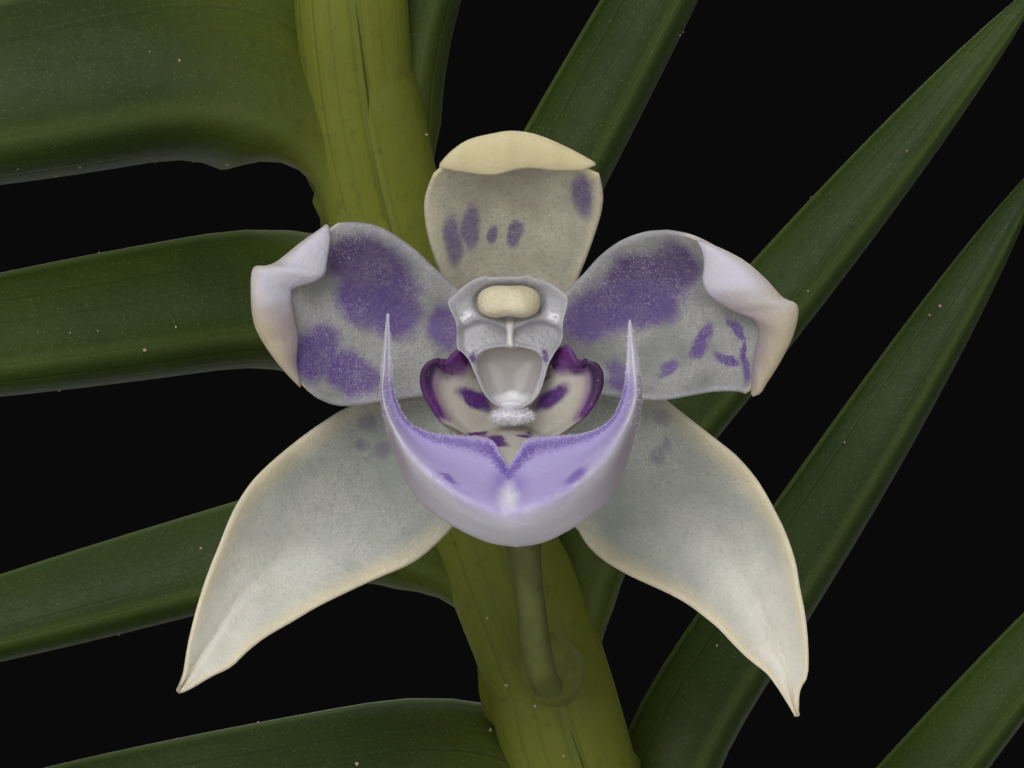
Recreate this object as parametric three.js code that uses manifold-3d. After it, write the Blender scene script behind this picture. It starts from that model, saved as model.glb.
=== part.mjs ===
// A potted Dichaea orchid: a plain clay pot filled with bark, a tuft of leafy stems whose leaves stand
// in two ranks, three open blooms with anchor-shaped lips, and two buds.
// Millimetres, +Z up. The origin is the centre of the pot's foot, and the first bloom faces -Y.
import * as THREE from "three";
import { mergeVertices } from "three/addons/utils/BufferGeometryUtils.js";
import Module from "manifold-3d";

const wasm = await Module();
wasm.setup();

// Driving dimensions of the pot and of what fills it
const POT_HEIGHT = 70;
const RIM_RADIUS = 43;
const RIM_HEIGHT = 15;
const RIM_STEP = 2.6;
const RIM_ROUND = 2;
const FOOT_RADIUS = 29;
const FOOT_BEVEL = 1.2;
const WALL = 4;
const FLOOR = 5;
const DRAIN_RADIUS = 3;
const DRAIN_REACH = 14;
const DRAIN_COUNT = 4;
const BARK_TOP = 60;
const FILL_GAP = 0.4;
const POT_SIDES = 28;
const CHIP_COUNT = 28;
const CHIP_SIZE = new THREE.Vector3(13, 8.5, 5);
const CHIP_REACH = 30;
const CHIP_TILT = 0.5;
const GOLDEN_ANGLE = 2.39996;

// Driving dimensions of a leafy stem
const STEM_RADIUS = 1.4;
const STEM_SUNK = 9;
const STEM_SIDES = 5;
const STEM_FLATNESS = 1.45;
const STEM_SWELL = [0.92, 1.12];
const STEM_REACH = 11;
const SHOOT_REACH = 20;
const BARE_FOOT = 15;
const AXIS_STEPS = 80;
const HOLE_GAP = 0.6;
const HOLE_REACH = 21;
const HOLE_STEPS = 4;
const LEAF_PITCH = 4.45;
const LEAF_LENGTH = 29;
const LEAF_HALF_WIDTH = 2.75;
const LEAF_KEEL = { low: 0.55, out: 0.3 };
const LEAF_MARGINS = { front: 0.3, back: 1 };
const LEAF_ROLL = THREE.MathUtils.degToRad(12);
const LEAF_STEPS = 24;
const LEAF_STATIONS = [0, 5, 12, 20];

// Driving dimensions of a bloom: its own frame has X to the right, Z up, and faces -Y
const BLADE_THICKNESS = 0.6;
const FOLD_LIFT = 0.45;
const ANCHOR_DEPTH = 0.8;
const PEDICEL_RADIUS = 0.55;
const OVARY_RADIUS = 0.85;
const BLOOM_BACK = 1.9;
const BRACT_LENGTH = 4.2;
const AXIL_GAP = 0.9;
const PERCH_OUT = 12;
const PERCH_UP = 6;
const PERCH_PITCH = -18;
const BLOOM_CENTRE = new THREE.Vector3(-2, -20, 165);

const point = (x, y, z) => new THREE.Vector3(x, y, z);
const radians = THREE.MathUtils.degToRad;

// A repeatable draw from 0 to 1 for the item with this number and purpose.
function draw(item, purpose) {
  const wave = Math.sin(item * 12.9898 + purpose * 78.233) * 43758.5453;
  return wave - Math.floor(wave);
}

// Joins rings of points, each with the same count, into one closed body. A ring of one point is a tip.
function loft(rings, stripCaps = false) {
  const count = Math.max(...rings.map((ring) => ring.length));
  const vertices = [];
  const faces = [];
  const starts = rings.map((ring) => {
    const start = vertices.length / 3;
    ring.forEach((p) => vertices.push(p.x, p.y, p.z));
    return start;
  });
  const at = (ring, i) => starts[ring] + (rings[ring].length === 1 ? 0 : i % count);
  for (let r = 0; r < rings.length - 1; r += 1) {
    for (let i = 0; i < count; i += 1) {
      if (rings[r].length > 1) faces.push(at(r, i), at(r, i + 1), at(r + 1, i + 1));
      if (rings[r + 1].length > 1) faces.push(at(r, i), at(r + 1, i + 1), at(r + 1, i));
    }
  }
  const cap = (ring, turned) => {
    if (rings[ring].length === 1) return;
    const fan = (a, b, c) => faces.push(...(turned ? [a, b, c] : [a, c, b]));
    if (!stripCaps) {
      for (let i = 1; i < count - 1; i += 1) fan(at(ring, 0), at(ring, i), at(ring, i + 1));
      return;
    }
    for (let i = 0; i < count / 2 - 1; i += 1) {
      const opposite = count - 1 - i;
      fan(at(ring, i), at(ring, i + 1), at(ring, opposite - 1));
      fan(at(ring, i), at(ring, opposite - 1), at(ring, opposite));
    }
  };
  cap(0, false);
  cap(rings.length - 1, true);
  return new THREE.BufferGeometry()
    .setAttribute("position", new THREE.Float32BufferAttribute(vertices, 3))
    .setIndex(faces);
}

// A closed geometry as a manifold solid, turned so that its faces point out.
function toSolid(geometry) {
  const bare = new THREE.BufferGeometry()
    .setAttribute("position", geometry.getAttribute("position").clone())
    .setIndex(geometry.index ? geometry.index.clone() : null);
  const merged = mergeVertices(bare, 1e-3);
  const build = (triVerts) => {
    const vertProperties = merged.attributes.position.array;
    return new wasm.Manifold(new wasm.Mesh({ numProp: 3, vertProperties, triVerts }));
  };
  const triVerts = new Uint32Array(merged.index.array);
  const made = build(triVerts);
  if (made.volume() >= 0) return made;
  for (let i = 0; i < triVerts.length; i += 3) {
    [triVerts[i + 1], triVerts[i + 2]] = [triVerts[i + 2], triVerts[i + 1]];
  }
  return build(triVerts);
}

// A manifold solid as a three.js geometry.
function meshGeometry(solid) {
  const mesh = solid.getMesh();
  return new THREE.BufferGeometry()
    .setAttribute("position", new THREE.BufferAttribute(mesh.vertProperties, 3))
    .setIndex(new THREE.BufferAttribute(mesh.triVerts, 1));
}

// The outer surface of a solid's largest body, so that no pocket stays sealed inside it.
function largestBody(solid) {
  return solid.decompose().sort((a, b) => b.volume() - a.volume())[0];
}

// The outer surface of a manifold solid as a geometry, without the slivers that joining leaves.
function toGeometry(solid) {
  const plain = largestBody(solid.simplify(0.02));
  return meshGeometry(largestBody(toSolid(meshGeometry(plain))));
}

// Several geometries joined into one body.
function fuse(geometries) {
  return largestBody(wasm.Manifold.union(geometries.map(toSolid)));
}

// A point on the smooth curve through these points, for t from 0 to 1.
function along(points, t) {
  return new THREE.CatmullRomCurve3(points, false, "catmullrom", 0.5).getPoint(t);
}

// A tube with these radii along a curve given by its points.
function tube(points, radii, sides, steps) {
  const curve = new THREE.CatmullRomCurve3(points, false, "catmullrom", 0.5);
  const frames = curve.computeFrenetFrames(steps, false);
  const rings = [];
  for (let i = 0; i <= steps; i += 1) {
    const centre = curve.getPointAt(i / steps);
    const place = (i / steps) * (radii.length - 1);
    const low = Math.min(Math.floor(place), radii.length - 2);
    const radius = THREE.MathUtils.lerp(radii[low], radii[low + 1], place - low);
    const ring = [];
    for (let k = 0; k < sides; k += 1) {
      const turn = (k / sides) * 2 * Math.PI;
      ring.push(
        centre.clone()
          .addScaledVector(frames.normals[i], radius * Math.cos(turn))
          .addScaledVector(frames.binormals[i], radius * Math.sin(turn)),
      );
    }
    rings.push(ring);
  }
  return loft(rings);
}

// The materials of the real plant, as plain colours.
const material = (color, roughness) => new THREE.MeshStandardMaterial({ color, roughness, metalness: 0 });
const clay = material(0xb5653f, 0.9);
const bark = material(0x5a3d28, 0.95);
const leafGreen = material(0x4c6b2a, 0.45);
const sepalCream = material(0xd6d2bd, 0.5);
const petalViolet = material(0x8d7bb0, 0.5);
const lipLavender = material(0xb3a3d6, 0.45);
const columnWhite = material(0xdcdadd, 0.4);
const antherYellow = material(0xe4dfb0, 0.6);
const pedicelGreen = material(0x9aa566, 0.5);

const plant = new THREE.Group();

// Hangs one named piece in the plant, or in a bloom's own group.
function add(name, geometry, finish, parent = plant) {
  const mesh = new THREE.Mesh(geometry, finish);
  mesh.name = name;
  parent.add(mesh);
}

// The pot's inner radius at a height, between the foot and the rim.
function innerRadius(z) {
  const share = (z - FLOOR) / (POT_HEIGHT - FLOOR);
  return THREE.MathUtils.lerp(FOOT_RADIUS - WALL, RIM_RADIUS - RIM_STEP - WALL, share);
}

// A body of revolution about Z from a profile of [radius, height].
function turned(profile) {
  const line = profile.map(([r, z]) => new THREE.Vector2(r, z));
  return new THREE.LatheGeometry(line, POT_SIDES).rotateX(Math.PI / 2);
}

// A thrown clay pot with a rolled rim band, and drain holes set round the middle of its floor.
function buildPot() {
  const underRim = POT_HEIGHT - RIM_HEIGHT;
  const neck = RIM_RADIUS - RIM_STEP - RIM_ROUND * 0.4;
  let pot = toSolid(turned([
    [0, 0],
    [FOOT_RADIUS - FOOT_BEVEL, 0],
    [FOOT_RADIUS, FOOT_BEVEL],
    [neck, underRim],
    [RIM_RADIUS - RIM_ROUND * 0.45, underRim],
    [RIM_RADIUS - RIM_ROUND * 0.1, underRim + RIM_ROUND * 0.6],
    [RIM_RADIUS, POT_HEIGHT - RIM_ROUND],
    [RIM_RADIUS - RIM_ROUND * 0.8, POT_HEIGHT],
    [innerRadius(POT_HEIGHT) + RIM_ROUND / 2, POT_HEIGHT],
    [innerRadius(POT_HEIGHT - RIM_ROUND), POT_HEIGHT - RIM_ROUND],
    [innerRadius(FLOOR), FLOOR],
    [0, FLOOR],
  ]));
  for (let i = 0; i < DRAIN_COUNT; i += 1) {
    const turn = ((i + 0.5) / DRAIN_COUNT) * 2 * Math.PI;
    const drill = new THREE.CylinderGeometry(DRAIN_RADIUS, DRAIN_RADIUS, 3 * FLOOR, 12).rotateX(Math.PI / 2);
    drill.translate(DRAIN_REACH * Math.cos(turn), DRAIN_REACH * Math.sin(turn), FLOOR / 2);
    pot = pot.subtract(toSolid(drill));
  }
  return toGeometry(pot);
}

// One rough chip of bark, a box with its corners knocked about.
function barkChip(number, centre, turn) {
  const size = CHIP_SIZE.clone().multiplyScalar(0.7 + 0.5 * draw(number, 1));
  const chip = new THREE.BoxGeometry(size.x, size.y, size.z).deleteAttribute("normal").deleteAttribute("uv");
  const merged = mergeVertices(chip);
  const corners = merged.getAttribute("position");
  for (let i = 0; i < corners.count; i += 1) {
    const shrink = 0.72 + 0.28 * draw(number * 8 + i, 2);
    corners.setXYZ(i, corners.getX(i) * shrink, corners.getY(i) * shrink, corners.getZ(i));
  }
  return merged.applyMatrix4(new THREE.Matrix4().makeRotationFromEuler(turn).setPosition(centre));
}

// Bark that fills the pot, heaped a little, with a plain hole for each stem.
function buildBark(stems) {
  const lowest = FLOOR + FILL_GAP;
  const shoulder = BARK_TOP - CHIP_SIZE.z * 0.6;
  const within = (z) => innerRadius(z) - FILL_GAP;
  const heart = turned([
    [0, lowest], [within(lowest), lowest], [within(shoulder), shoulder], [CHIP_REACH * 0.6, BARK_TOP],
    [0, BARK_TOP],
  ]);
  const bound = turned([
    [0, 0], [within(lowest), 0], [within(lowest), lowest], [within(POT_HEIGHT), POT_HEIGHT], [0, POT_HEIGHT],
  ]);
  const pieces = [heart];
  for (let i = 0; i < CHIP_COUNT; i += 1) {
    const reach = CHIP_REACH * Math.sqrt((i + 0.5) / CHIP_COUNT);
    const place = i * GOLDEN_ANGLE;
    const heap = 1.5 * draw(i, 3) - 1 - 1.4 * (reach / CHIP_REACH) ** 2;
    const centre = point(reach * Math.cos(place), reach * Math.sin(place), BARK_TOP + heap);
    const [roll, pitch] = [4, 5].map((purpose) => CHIP_TILT * (draw(i, purpose) - 0.5));
    pieces.push(barkChip(i, centre, new THREE.Euler(roll, pitch, 2 * Math.PI * draw(i, 6))));
  }
  const holes = stems.map((stem) => toSolid(stemHole(stem)));
  const trimmed = fuse(pieces).intersect(toSolid(bound));
  return toGeometry(holes.reduce((left, hole) => left.subtract(hole), trimmed));
}

// A stem's axis as points a small step apart, with the length gone at each.
function axisOf(stem) {
  const points = [];
  const lengths = [0];
  for (let i = 0; i <= AXIS_STEPS; i += 1) {
    points.push(along(stem.path, i / AXIS_STEPS));
    if (i) lengths.push(lengths[i - 1] + points[i].distanceTo(points[i - 1]));
  }
  return { points, lengths, total: lengths[AXIS_STEPS] };
}

// The place on a stem's axis at a length from its foot, with its own directions.
function frameAt(stem, length) {
  const { points, lengths } = stem.axis;
  let i = 1;
  while (i < AXIS_STEPS && lengths[i] < length) i += 1;
  const share = (length - lengths[i - 1]) / (lengths[i] - lengths[i - 1]);
  const centre = points[i - 1].clone().lerp(points[i], share);
  const tangent = points[i].clone().sub(points[i - 1]).normalize();
  const normal = stem.facing.clone().addScaledVector(tangent, -stem.facing.dot(tangent)).normalize();
  const side = new THREE.Vector3().crossVectors(tangent, normal);
  return { centre, tangent, normal, side };
}

// An oval ring round a stem's axis at a length from its foot.
function stemRing(stem, length, radius) {
  const { centre, normal, side } = frameAt(stem, length);
  const ring = [];
  for (let k = 0; k < STEM_SIDES; k += 1) {
    const turn = (k / STEM_SIDES) * 2 * Math.PI;
    const across = centre.clone().addScaledVector(side, radius * STEM_FLATNESS * Math.cos(turn));
    ring.push(across.addScaledVector(normal, radius * Math.sin(turn)));
  }
  return ring;
}

// The stem itself: a slim rod that swells and narrows along its leaf sheaths, and tapers to the tip.
function stemRod(stem) {
  const count = Math.max(6, Math.ceil(stem.leaves / 2));
  const rings = [];
  for (let i = 0; i <= count; i += 1) {
    const q = i / count;
    rings.push(stemRing(stem, q * stem.axis.total, stem.radius * STEM_SWELL[i % 2] * (1 - 0.45 * q ** 3)));
  }
  return loft(rings);
}

// The plain hole in the bark that a stem stands in.
function stemHole(stem) {
  const rings = [];
  for (let i = 0; i <= HOLE_STEPS; i += 1) {
    rings.push(stemRing(stem, (i / HOLE_STEPS) * HOLE_REACH, stem.radius * STEM_SWELL[1] + HOLE_GAP));
  }
  return loft(rings);
}

// How large the leaves grow along a stem: small at the foot, full size in the middle, small at the tip.
function leafScale(q) {
  return Math.min(1, 0.5 + 2.4 * q) * Math.min(1, 0.42 + 3.6 * (1 - q));
}

// A leaf's half width at a share of its length: a broad base, parallel edges and a pointed tip.
function leafOutline(s) {
  const base = 0.35 + 0.65 * Math.min(1, s / 0.25);
  return base * (1 - s ** 3.4) ** 0.8;
}

// The midrib of a leaf, with the directions across and out of the blade at each step.
function leafMidrib(stem, number) {
  const q = (number + 0.5) / stem.leaves;
  const handed = number % 2 ? 1 : -1;
  const { centre, tangent, normal, side } = frameAt(stem, stem.firstLeaf + number * LEAF_PITCH);
  const length = LEAF_LENGTH * stem.leafSize * leafScale(q) * (0.94 + 0.12 * draw(number, stem.seed));
  const spread = handed < 0 ? stem.leftSpread : stem.rightSpread;
  const close = 1 - 0.45 * THREE.MathUtils.smoothstep(q, 0.8, 1);
  const jitter = 7 * (draw(number, stem.seed + 1) - 0.5) + (stem.turns[number] ?? 0);
  const [low, high, bend] = [spread[0] * close, (spread[1] + jitter) * close, spread[2]];
  const bow = 0.16 * (draw(number, stem.seed + 2) - 0.35);
  const steps = [];
  const here = centre.clone();
  for (let i = 0; i <= LEAF_STEPS; i += 1) {
    const s = i / LEAF_STEPS;
    const angle = radians(THREE.MathUtils.lerp(low, high, THREE.MathUtils.smoothstep(s, 0, bend)));
    const forward = tangent.clone().multiplyScalar(Math.cos(angle));
    forward.addScaledVector(side, handed * Math.sin(angle)).addScaledVector(normal, -2 * bow * s).normalize();
    const flat = new THREE.Vector3().crossVectors(normal, forward).normalize().multiplyScalar(handed);
    const up = new THREE.Vector3().crossVectors(forward, flat).normalize().multiplyScalar(handed);
    const roll = LEAF_ROLL * Math.min(1, 4 * s);
    const across = flat.clone().multiplyScalar(Math.cos(roll)).addScaledVector(up, -Math.sin(roll));
    const out = up.clone().multiplyScalar(Math.cos(roll)).addScaledVector(flat, Math.sin(roll));
    steps.push({ s, centre: here.clone(), across, out });
    here.addScaledVector(forward, length / LEAF_STEPS);
  }
  const fullWidth = LEAF_HALF_WIDTH * (0.55 + 0.45 * leafScale(q)) * stem.leafSize ** 0.5;
  return { steps, halfWidth: fullWidth * (stem.widths[number] ?? 1) };
}

// One leaf blade with a pointed tip, folded along its midrib: the keel stands out in front, low on the
// blade, with one half of the leaf above it and the other turned back behind it.
function leafBlade(stem, number) {
  const { steps, halfWidth } = leafMidrib(stem, number);
  const rings = LEAF_STATIONS.map((station) => {
    const { s, centre, across, out } = steps[station];
    const half = halfWidth * leafOutline(s);
    const at = (along, forward) =>
      centre.clone().addScaledVector(across, half * along).addScaledVector(out, half * forward);
    return [at(1, -LEAF_MARGINS.front), at(-LEAF_KEEL.low, LEAF_KEEL.out), at(-1, -LEAF_MARGINS.back)];
  });
  rings.push([steps[LEAF_STEPS].centre.clone()]);
  return loft(rings);
}

// A stem with all its leaves.
function buildLeafyStem(stem) {
  const pieces = [stemRod(stem)];
  for (let i = 0; i < stem.leaves; i += 1) pieces.push(leafBlade(stem, i));
  return toGeometry(fuse(pieces));
}

// The stem that carries the first bloom: tall, and leaning forward and to the left. Its spreads say
// how far its left and right leaves turn from the stem: degrees at the base, degrees in the blade, and
// the share of the length where the turn ends. Its turns add degrees to single leaves, and its widths
// say what share of the usual width single leaves have.
const frontStem = {
  name: "stem_front",
  path: [
    point(4, 8, BARK_TOP - STEM_SUNK), point(8, 8.5, 82), point(9, 4.5, 112), point(5, -0.8, 137),
    point(0.2, -5, 152.2), point(-3.7, -8.4, 163.7), point(-6.3, -10.8, 171.3), point(-7.4, -13.2, 179),
    point(-8.2, -17, 191), point(-9.5, -21.5, 204),
  ],
  facing: point(0.05, -1, 0.25),
  leafSize: 1.2,
  leftSpread: [0, 80, 0.39],
  rightSpread: [0, 51, 0.42],
  turns: { 16: -2, 17: 13, 18: 8, 19: -6, 20: -3, 21: -14, 22: 6, 23: -20 },
  widths: { 13: 0.66, 15: 0.66, 16: 0.8, 17: 0.62, 18: 0.65, 19: 0.65, 20: 0.86, 21: 0.7, 22: 1.2, 23: 0.7 },
  bareFoot: 16.7,
  seed: 11,
};

const outerSpread = [8, 66, 0.34];

// A shorter stem that leans out of the pot at an azimuth in degrees.
function outerStem(name, azimuth, lengthOf, lean, seed) {
  const a = radians(azimuth);
  const out = point(Math.cos(a), Math.sin(a), 0);
  const aside = point(-Math.sin(a), Math.cos(a), 0);
  const foot = out.clone().multiplyScalar(STEM_REACH).setZ(BARK_TOP - STEM_SUNK);
  const bendAside = 0.16 * (draw(seed, 21) - 0.5);
  const step = (high, outward) => {
    const place = foot.clone().addScaledVector(out, lengthOf * outward * lean);
    return place.addScaledVector(aside, lengthOf * bendAside * high ** 2).add(point(0, 0, lengthOf * high));
  };
  const path = [foot, step(0.26, 0.09), step(0.5, 0.3), step(0.72, 0.62), step(0.9, 1)];
  const facing = out.clone().setZ(0.35);
  const leaves = { leafSize: 0.94, leftSpread: outerSpread, rightSpread: outerSpread, turns: {}, widths: {} };
  return { name, path, facing, ...leaves, bareFoot: BARE_FOOT, seed };
}

// A young shoot near the pot's rim, with small leaves from near the bark up.
function youngShoot(name, azimuth, lengthOf, lean, seed) {
  const shoot = outerStem(name, azimuth, lengthOf, lean, seed);
  const a = radians(azimuth);
  const shift = point(Math.cos(a), Math.sin(a), 0).multiplyScalar(SHOOT_REACH - STEM_REACH);
  shoot.path.forEach((p) => p.add(shift));
  return { ...shoot, leafSize: 0.55, bareFoot: 5 };
}

const rightStem = outerStem("stem_right", 12, 92, 0.62, 31);
const leftStem = outerStem("stem_left", 166, 96, 0.6, 53);
const frontRightStem = outerStem("stem_front_right", 306, 70, 0.78, 75);
const stems = [
  frontStem,
  rightStem,
  outerStem("stem_back", 88, 84, 0.6, 42),
  leftStem,
  outerStem("stem_front_left", 232, 78, 0.72, 64),
  frontRightStem,
  youngShoot("shoot_right", 338, 36, 0.3, 86),
  youngShoot("shoot_back", 128, 30, 0.35, 97),
];
stems.forEach((stem) => {
  stem.axis = axisOf(stem);
  stem.radius = STEM_RADIUS * stem.leafSize ** 0.5;
  stem.firstLeaf = STEM_SUNK + stem.bareFoot;
  stem.leaves = Math.floor((stem.axis.total - stem.firstLeaf - 1) / LEAF_PITCH);
});

// A list of [x, y, z] as points.
const pointsOf = (list) => list.map((p) => point(...p));

// A blade bounded by four curves, each a list of [x, y, z]: its base, its far end and the two edges
// that join them. The belly sinks back between the edges.
function bladeGeometry({ base, end, low, high, belly }, rows, columns) {
  const [baseLine, endLine, lowLine, highLine] = [base, end, low, high].map(pointsOf);
  const front = [];
  for (let i = 0; i <= rows; i += 1) {
    const s = i / rows;
    const row = [];
    for (let j = 0; j <= columns; j += 1) {
      const v = j / columns;
      const p = along(baseLine, v).multiplyScalar(1 - s).addScaledVector(along(endLine, v), s);
      for (const [edge, share] of [[lowLine, 1 - v], [highLine, v]]) {
        p.addScaledVector(along(edge, s), share);
        p.addScaledVector(along(edge, 0), -share * (1 - s)).addScaledVector(along(edge, 1), -share * s);
      }
      p.y += belly * 4 * v * (1 - v) * Math.sin(Math.PI * s);
      row.push(p);
    }
    front.push(row);
  }
  const rings = front.map((row) => {
    const back = row.map((p) => p.clone().setY(p.y + BLADE_THICKNESS));
    return [...row, ...back.reverse()];
  });
  return loft(rings, true);
}

// The turned-in margin at a blade's far end: a strip from the end curve to the fold curve.
function foldGeometry({ end, fold }, columns) {
  const [endLine, foldLine] = [end, fold].map(pointsOf);
  const half = BLADE_THICKNESS / 2;
  const rings = [];
  for (let j = 0; j <= columns; j += 1) {
    const v = 0.04 + (0.92 * j) / columns;
    const outer = along(endLine, v);
    const inner = along(foldLine, v);
    const crest = outer.clone().lerp(inner, 0.35);
    rings.push([
      outer.clone().add(point(0, half, 0)),
      outer.clone().add(point(0, -half, 0)),
      crest.add(point(0, -FOLD_LIFT * 1.3, 0)),
      inner.clone().add(point(0, -FOLD_LIFT, 0)),
      inner.clone().add(point(0, half, 0)),
    ]);
  }
  return loft(rings);
}

// The organs of a bloom, each from the curves that bound it.
const dorsalSepal = {
  base: [[-1.1, 0.7, 1.2], [0, 0.8, 1.1], [1.1, 0.7, 1.2]],
  low: [[-1.1, 0.7, 1.2], [-1.9, 0.4, 3.2], [-2.6, -0.2, 4.9], [-2.85, -0.9, 6.4], [-2.25, -1.8, 7.75]],
  high: [[1.1, 0.7, 1.2], [1.8, 0.4, 3.2], [2.5, -0.2, 4.9], [2.9, -0.9, 6.4], [2.7, -1.8, 7.5]],
  end: [[-2.25, -1.8, 7.75], [-1.5, -1.9, 8.3], [-0.6, -1.9, 8.65], [0.3, -1.9, 8.75], [1.1, -1.9, 8.6],
    [2, -1.85, 8.1], [2.7, -1.8, 7.5]],
  fold: [[-2.25, -1.8, 7.3], [-0.85, -1.7, 7.15], [0.2, -1.7, 7.35], [1.1, -1.7, 7.55], [2.05, -1.7, 7.3],
    [2.72, -1.8, 7.42]],
  belly: 0.8,
};
const leftSepal = {
  base: [[-0.4, 0.9, -1.75], [-1.2, 0.9, -0.9], [-1.8, 0.9, 0]],
  low: [[-0.4, 0.9, -1.75], [-1.9, 0.7, -3.9], [-3.9, 0.4, -5.3], [-6.45, 0, -6.55], [-8.7, -0.5, -8],
    [-9.95, -1, -9], [-10.55, -1.3, -9.35]],
  high: [[-1.8, 0.9, 0], [-4.2, 0.7, -0.15], [-7.1, 0.1, -1.6], [-8.7, -0.5, -3.7], [-9.75, -0.9, -6.4],
    [-10.35, -1.2, -8.3], [-10.6, -1.3, -9.1]],
  end: [[-10.55, -1.3, -9.35], [-10.65, -1.3, -9.25], [-10.6, -1.3, -9.1]],
  belly: 0.9,
};
const rightSepal = {
  base: [[0.4, 0.9, -1.75], [1.2, 0.9, -0.9], [2, 0.9, 0]],
  low: [[0.4, 0.9, -1.75], [2.2, 0.7, -4.05], [4.1, 0.4, -5.7], [6, 0, -6.8], [7.6, -0.5, -8.3],
    [8.65, -1, -9.6], [9, -1.3, -10.15]],
  high: [[2, 0.9, 0], [4.6, 0.7, 0], [7.05, 0.1, -1.85], [8.6, -0.5, -4.3], [9.35, -0.9, -7],
    [9.2, -1.2, -9.1], [9.2, -1.3, -9.95]],
  end: [[9, -1.3, -10.15], [9.15, -1.3, -10.15], [9.2, -1.3, -9.95]],
  belly: 0.9,
};
const leftPetal = {
  base: [[-1.15, -0.2, 0.45], [-1.15, -0.2, 1.8], [-1.15, -0.2, 3]],
  low: [[-1.15, -0.2, 0.45], [-2.6, -0.4, 0.26], [-3.75, -0.7, 0.1], [-5.35, -1.1, -0.1], [-6.7, -1.6, 0.22]],
  high: [[-1.15, -0.2, 3], [-2.05, -0.4, 3.7], [-3.2, -0.7, 4.8], [-4.4, -1, 5.5], [-5.65, -1.5, 5.65]],
  end: [[-6.7, -1.6, 0.22], [-7.6, -2, 1.45], [-8.2, -2.2, 2.7], [-8.3, -2.3, 4.2], [-7.1, -1.9, 4.9],
    [-5.65, -1.5, 5.65]],
  fold: [[-6.7, -1.6, 0.35], [-6.7, -1.6, 1.3], [-6.85, -1.6, 2.3], [-7.05, -1.7, 3.3], [-6.45, -1.7, 3.95],
    [-5.6, -1.5, 5.3]],
  belly: 0.9,
};
const rightPetal = {
  base: [[1.15, -0.2, 0.45], [1.15, -0.2, 1.8], [1.15, -0.2, 3]],
  low: [[1.15, -0.2, 0.45], [2.8, -0.4, 0.26], [4.1, -0.7, 0.13], [5.7, -1.1, 0.5], [7.5, -1.6, 0.35]],
  high: [[1.15, -0.2, 3], [2.2, -0.4, 3.9], [3.45, -0.7, 5], [4.6, -1, 5.35], [5.7, -1.5, 5.2]],
  end: [[7.5, -1.6, 0.35], [8.25, -2, 0.8], [8.75, -2.2, 1.45], [9.1, -2.3, 2.9], [8.25, -2.1, 3.6],
    [7, -1.8, 4.65], [5.7, -1.5, 5.2]],
  fold: [[7.5, -1.6, 0.45], [7.55, -1.6, 1.6], [7.45, -1.7, 2.4], [6.9, -1.7, 3.1], [6.1, -1.6, 3.85],
    [6, -1.6, 4.4], [5.7, -1.5, 5.1]],
  belly: 0.9,
};

// A sepal or petal, with its turned-in margin where it has one.
function organ(shape, rows, columns) {
  const pieces = [bladeGeometry(shape, rows, columns)];
  if (shape.fold) pieces.push(foldGeometry(shape, columns + 3));
  return toGeometry(fuse(pieces));
}

// The lip's anchor: sections from the middle out to the tip of the right horn, mirrored for the left.
// Each lists the rim, the crease in front of it and the underside, as [x, y, z].
const anchorSections = [
  { rim: [0, -5.9, -2.25], crease: [0, -7.1, -3.35], under: [0, -5.6, -4.6] },
  { rim: [0.55, -5.4, -1.25], crease: [0.9, -7.1, -3.15], under: [0.9, -5.6, -4.5] },
  { rim: [1.3, -5.3, -1.1], crease: [2, -6.8, -2.5], under: [2.2, -5.4, -3.95] },
  { rim: [2.4, -5.1, -1], crease: [3.05, -6.2, -1.7], under: [3.2, -5, -2.9] },
  { rim: [3.2, -4.8, -0.6], crease: [3.7, -5.6, -0.7], under: [3.85, -4.7, -1.5] },
  { rim: [3.6, -4.6, 0.2], crease: [3.95, -5.2, 0.2], under: [4.15, -4.6, -0.1] },
  { rim: [3.72, -4.6, 1.1], crease: [3.9, -4.9, 1.1], under: [4.08, -4.6, 1] },
  { rim: [3.75, -4.6, 1.9], crease: [3.85, -4.75, 1.9], under: [3.95, -4.6, 1.85] },
];
const hornTip = [3.82, -4.7, 2.55];

// One closed section of the anchor, thinner the nearer its share of the way is to the horn's tip.
function anchorRing({ rim, crease, under }, mirror, share) {
  const depth = ANCHOR_DEPTH * (1 - 0.65 * share);
  const [r, c, u] = [rim, crease, under].map(([x, y, z]) => point(x * mirror, y, z));
  const belly = c.clone().lerp(u, 0.55).add(point(0, -0.35 * (1 - share), 0));
  const backUnder = u.clone().lerp(r, 0.3).add(point(0, depth * 0.9, 0));
  const backRim = r.clone().lerp(u, 0.12).add(point(0, depth * 0.7, 0));
  return [r, c, belly, u, backUnder, backRim];
}

// The bowl of the lip: a shallow saddle under the column that rises in an ear on each side.
const bowlShape = {
  base: [[-1.75, -3.1, -0.85], [-2.5, -3.5, -0.4], [-2.9, -3.7, 0.3], [-2.85, -3.7, 0.95],
    [-1.9, -3.2, 1.35]],
  end: [[1.8, -3.1, -0.85], [2.5, -3.5, -0.4], [2.9, -3.7, 0.3], [2.8, -3.7, 0.95], [1.8, -3.2, 1.35]],
  low: [[-1.75, -3.1, -0.85], [-0.6, -2.9, -1.2], [0.6, -2.9, -1.2], [1.8, -3.1, -0.85]],
  high: [[-1.9, -3.2, 1.35], [-1, -1.5, 0.1], [1, -1.5, 0.1], [1.8, -3.2, 1.35]],
  belly: 0.5,
};
const clawLine = [[0, -1.2, -0.9], [0, -3.2, -1.15], [0, -4.6, -1.6], [0, -5.5, -2.7]];
const clawRadii = [0.7, 0.85, 0.7, 0.5];

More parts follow.
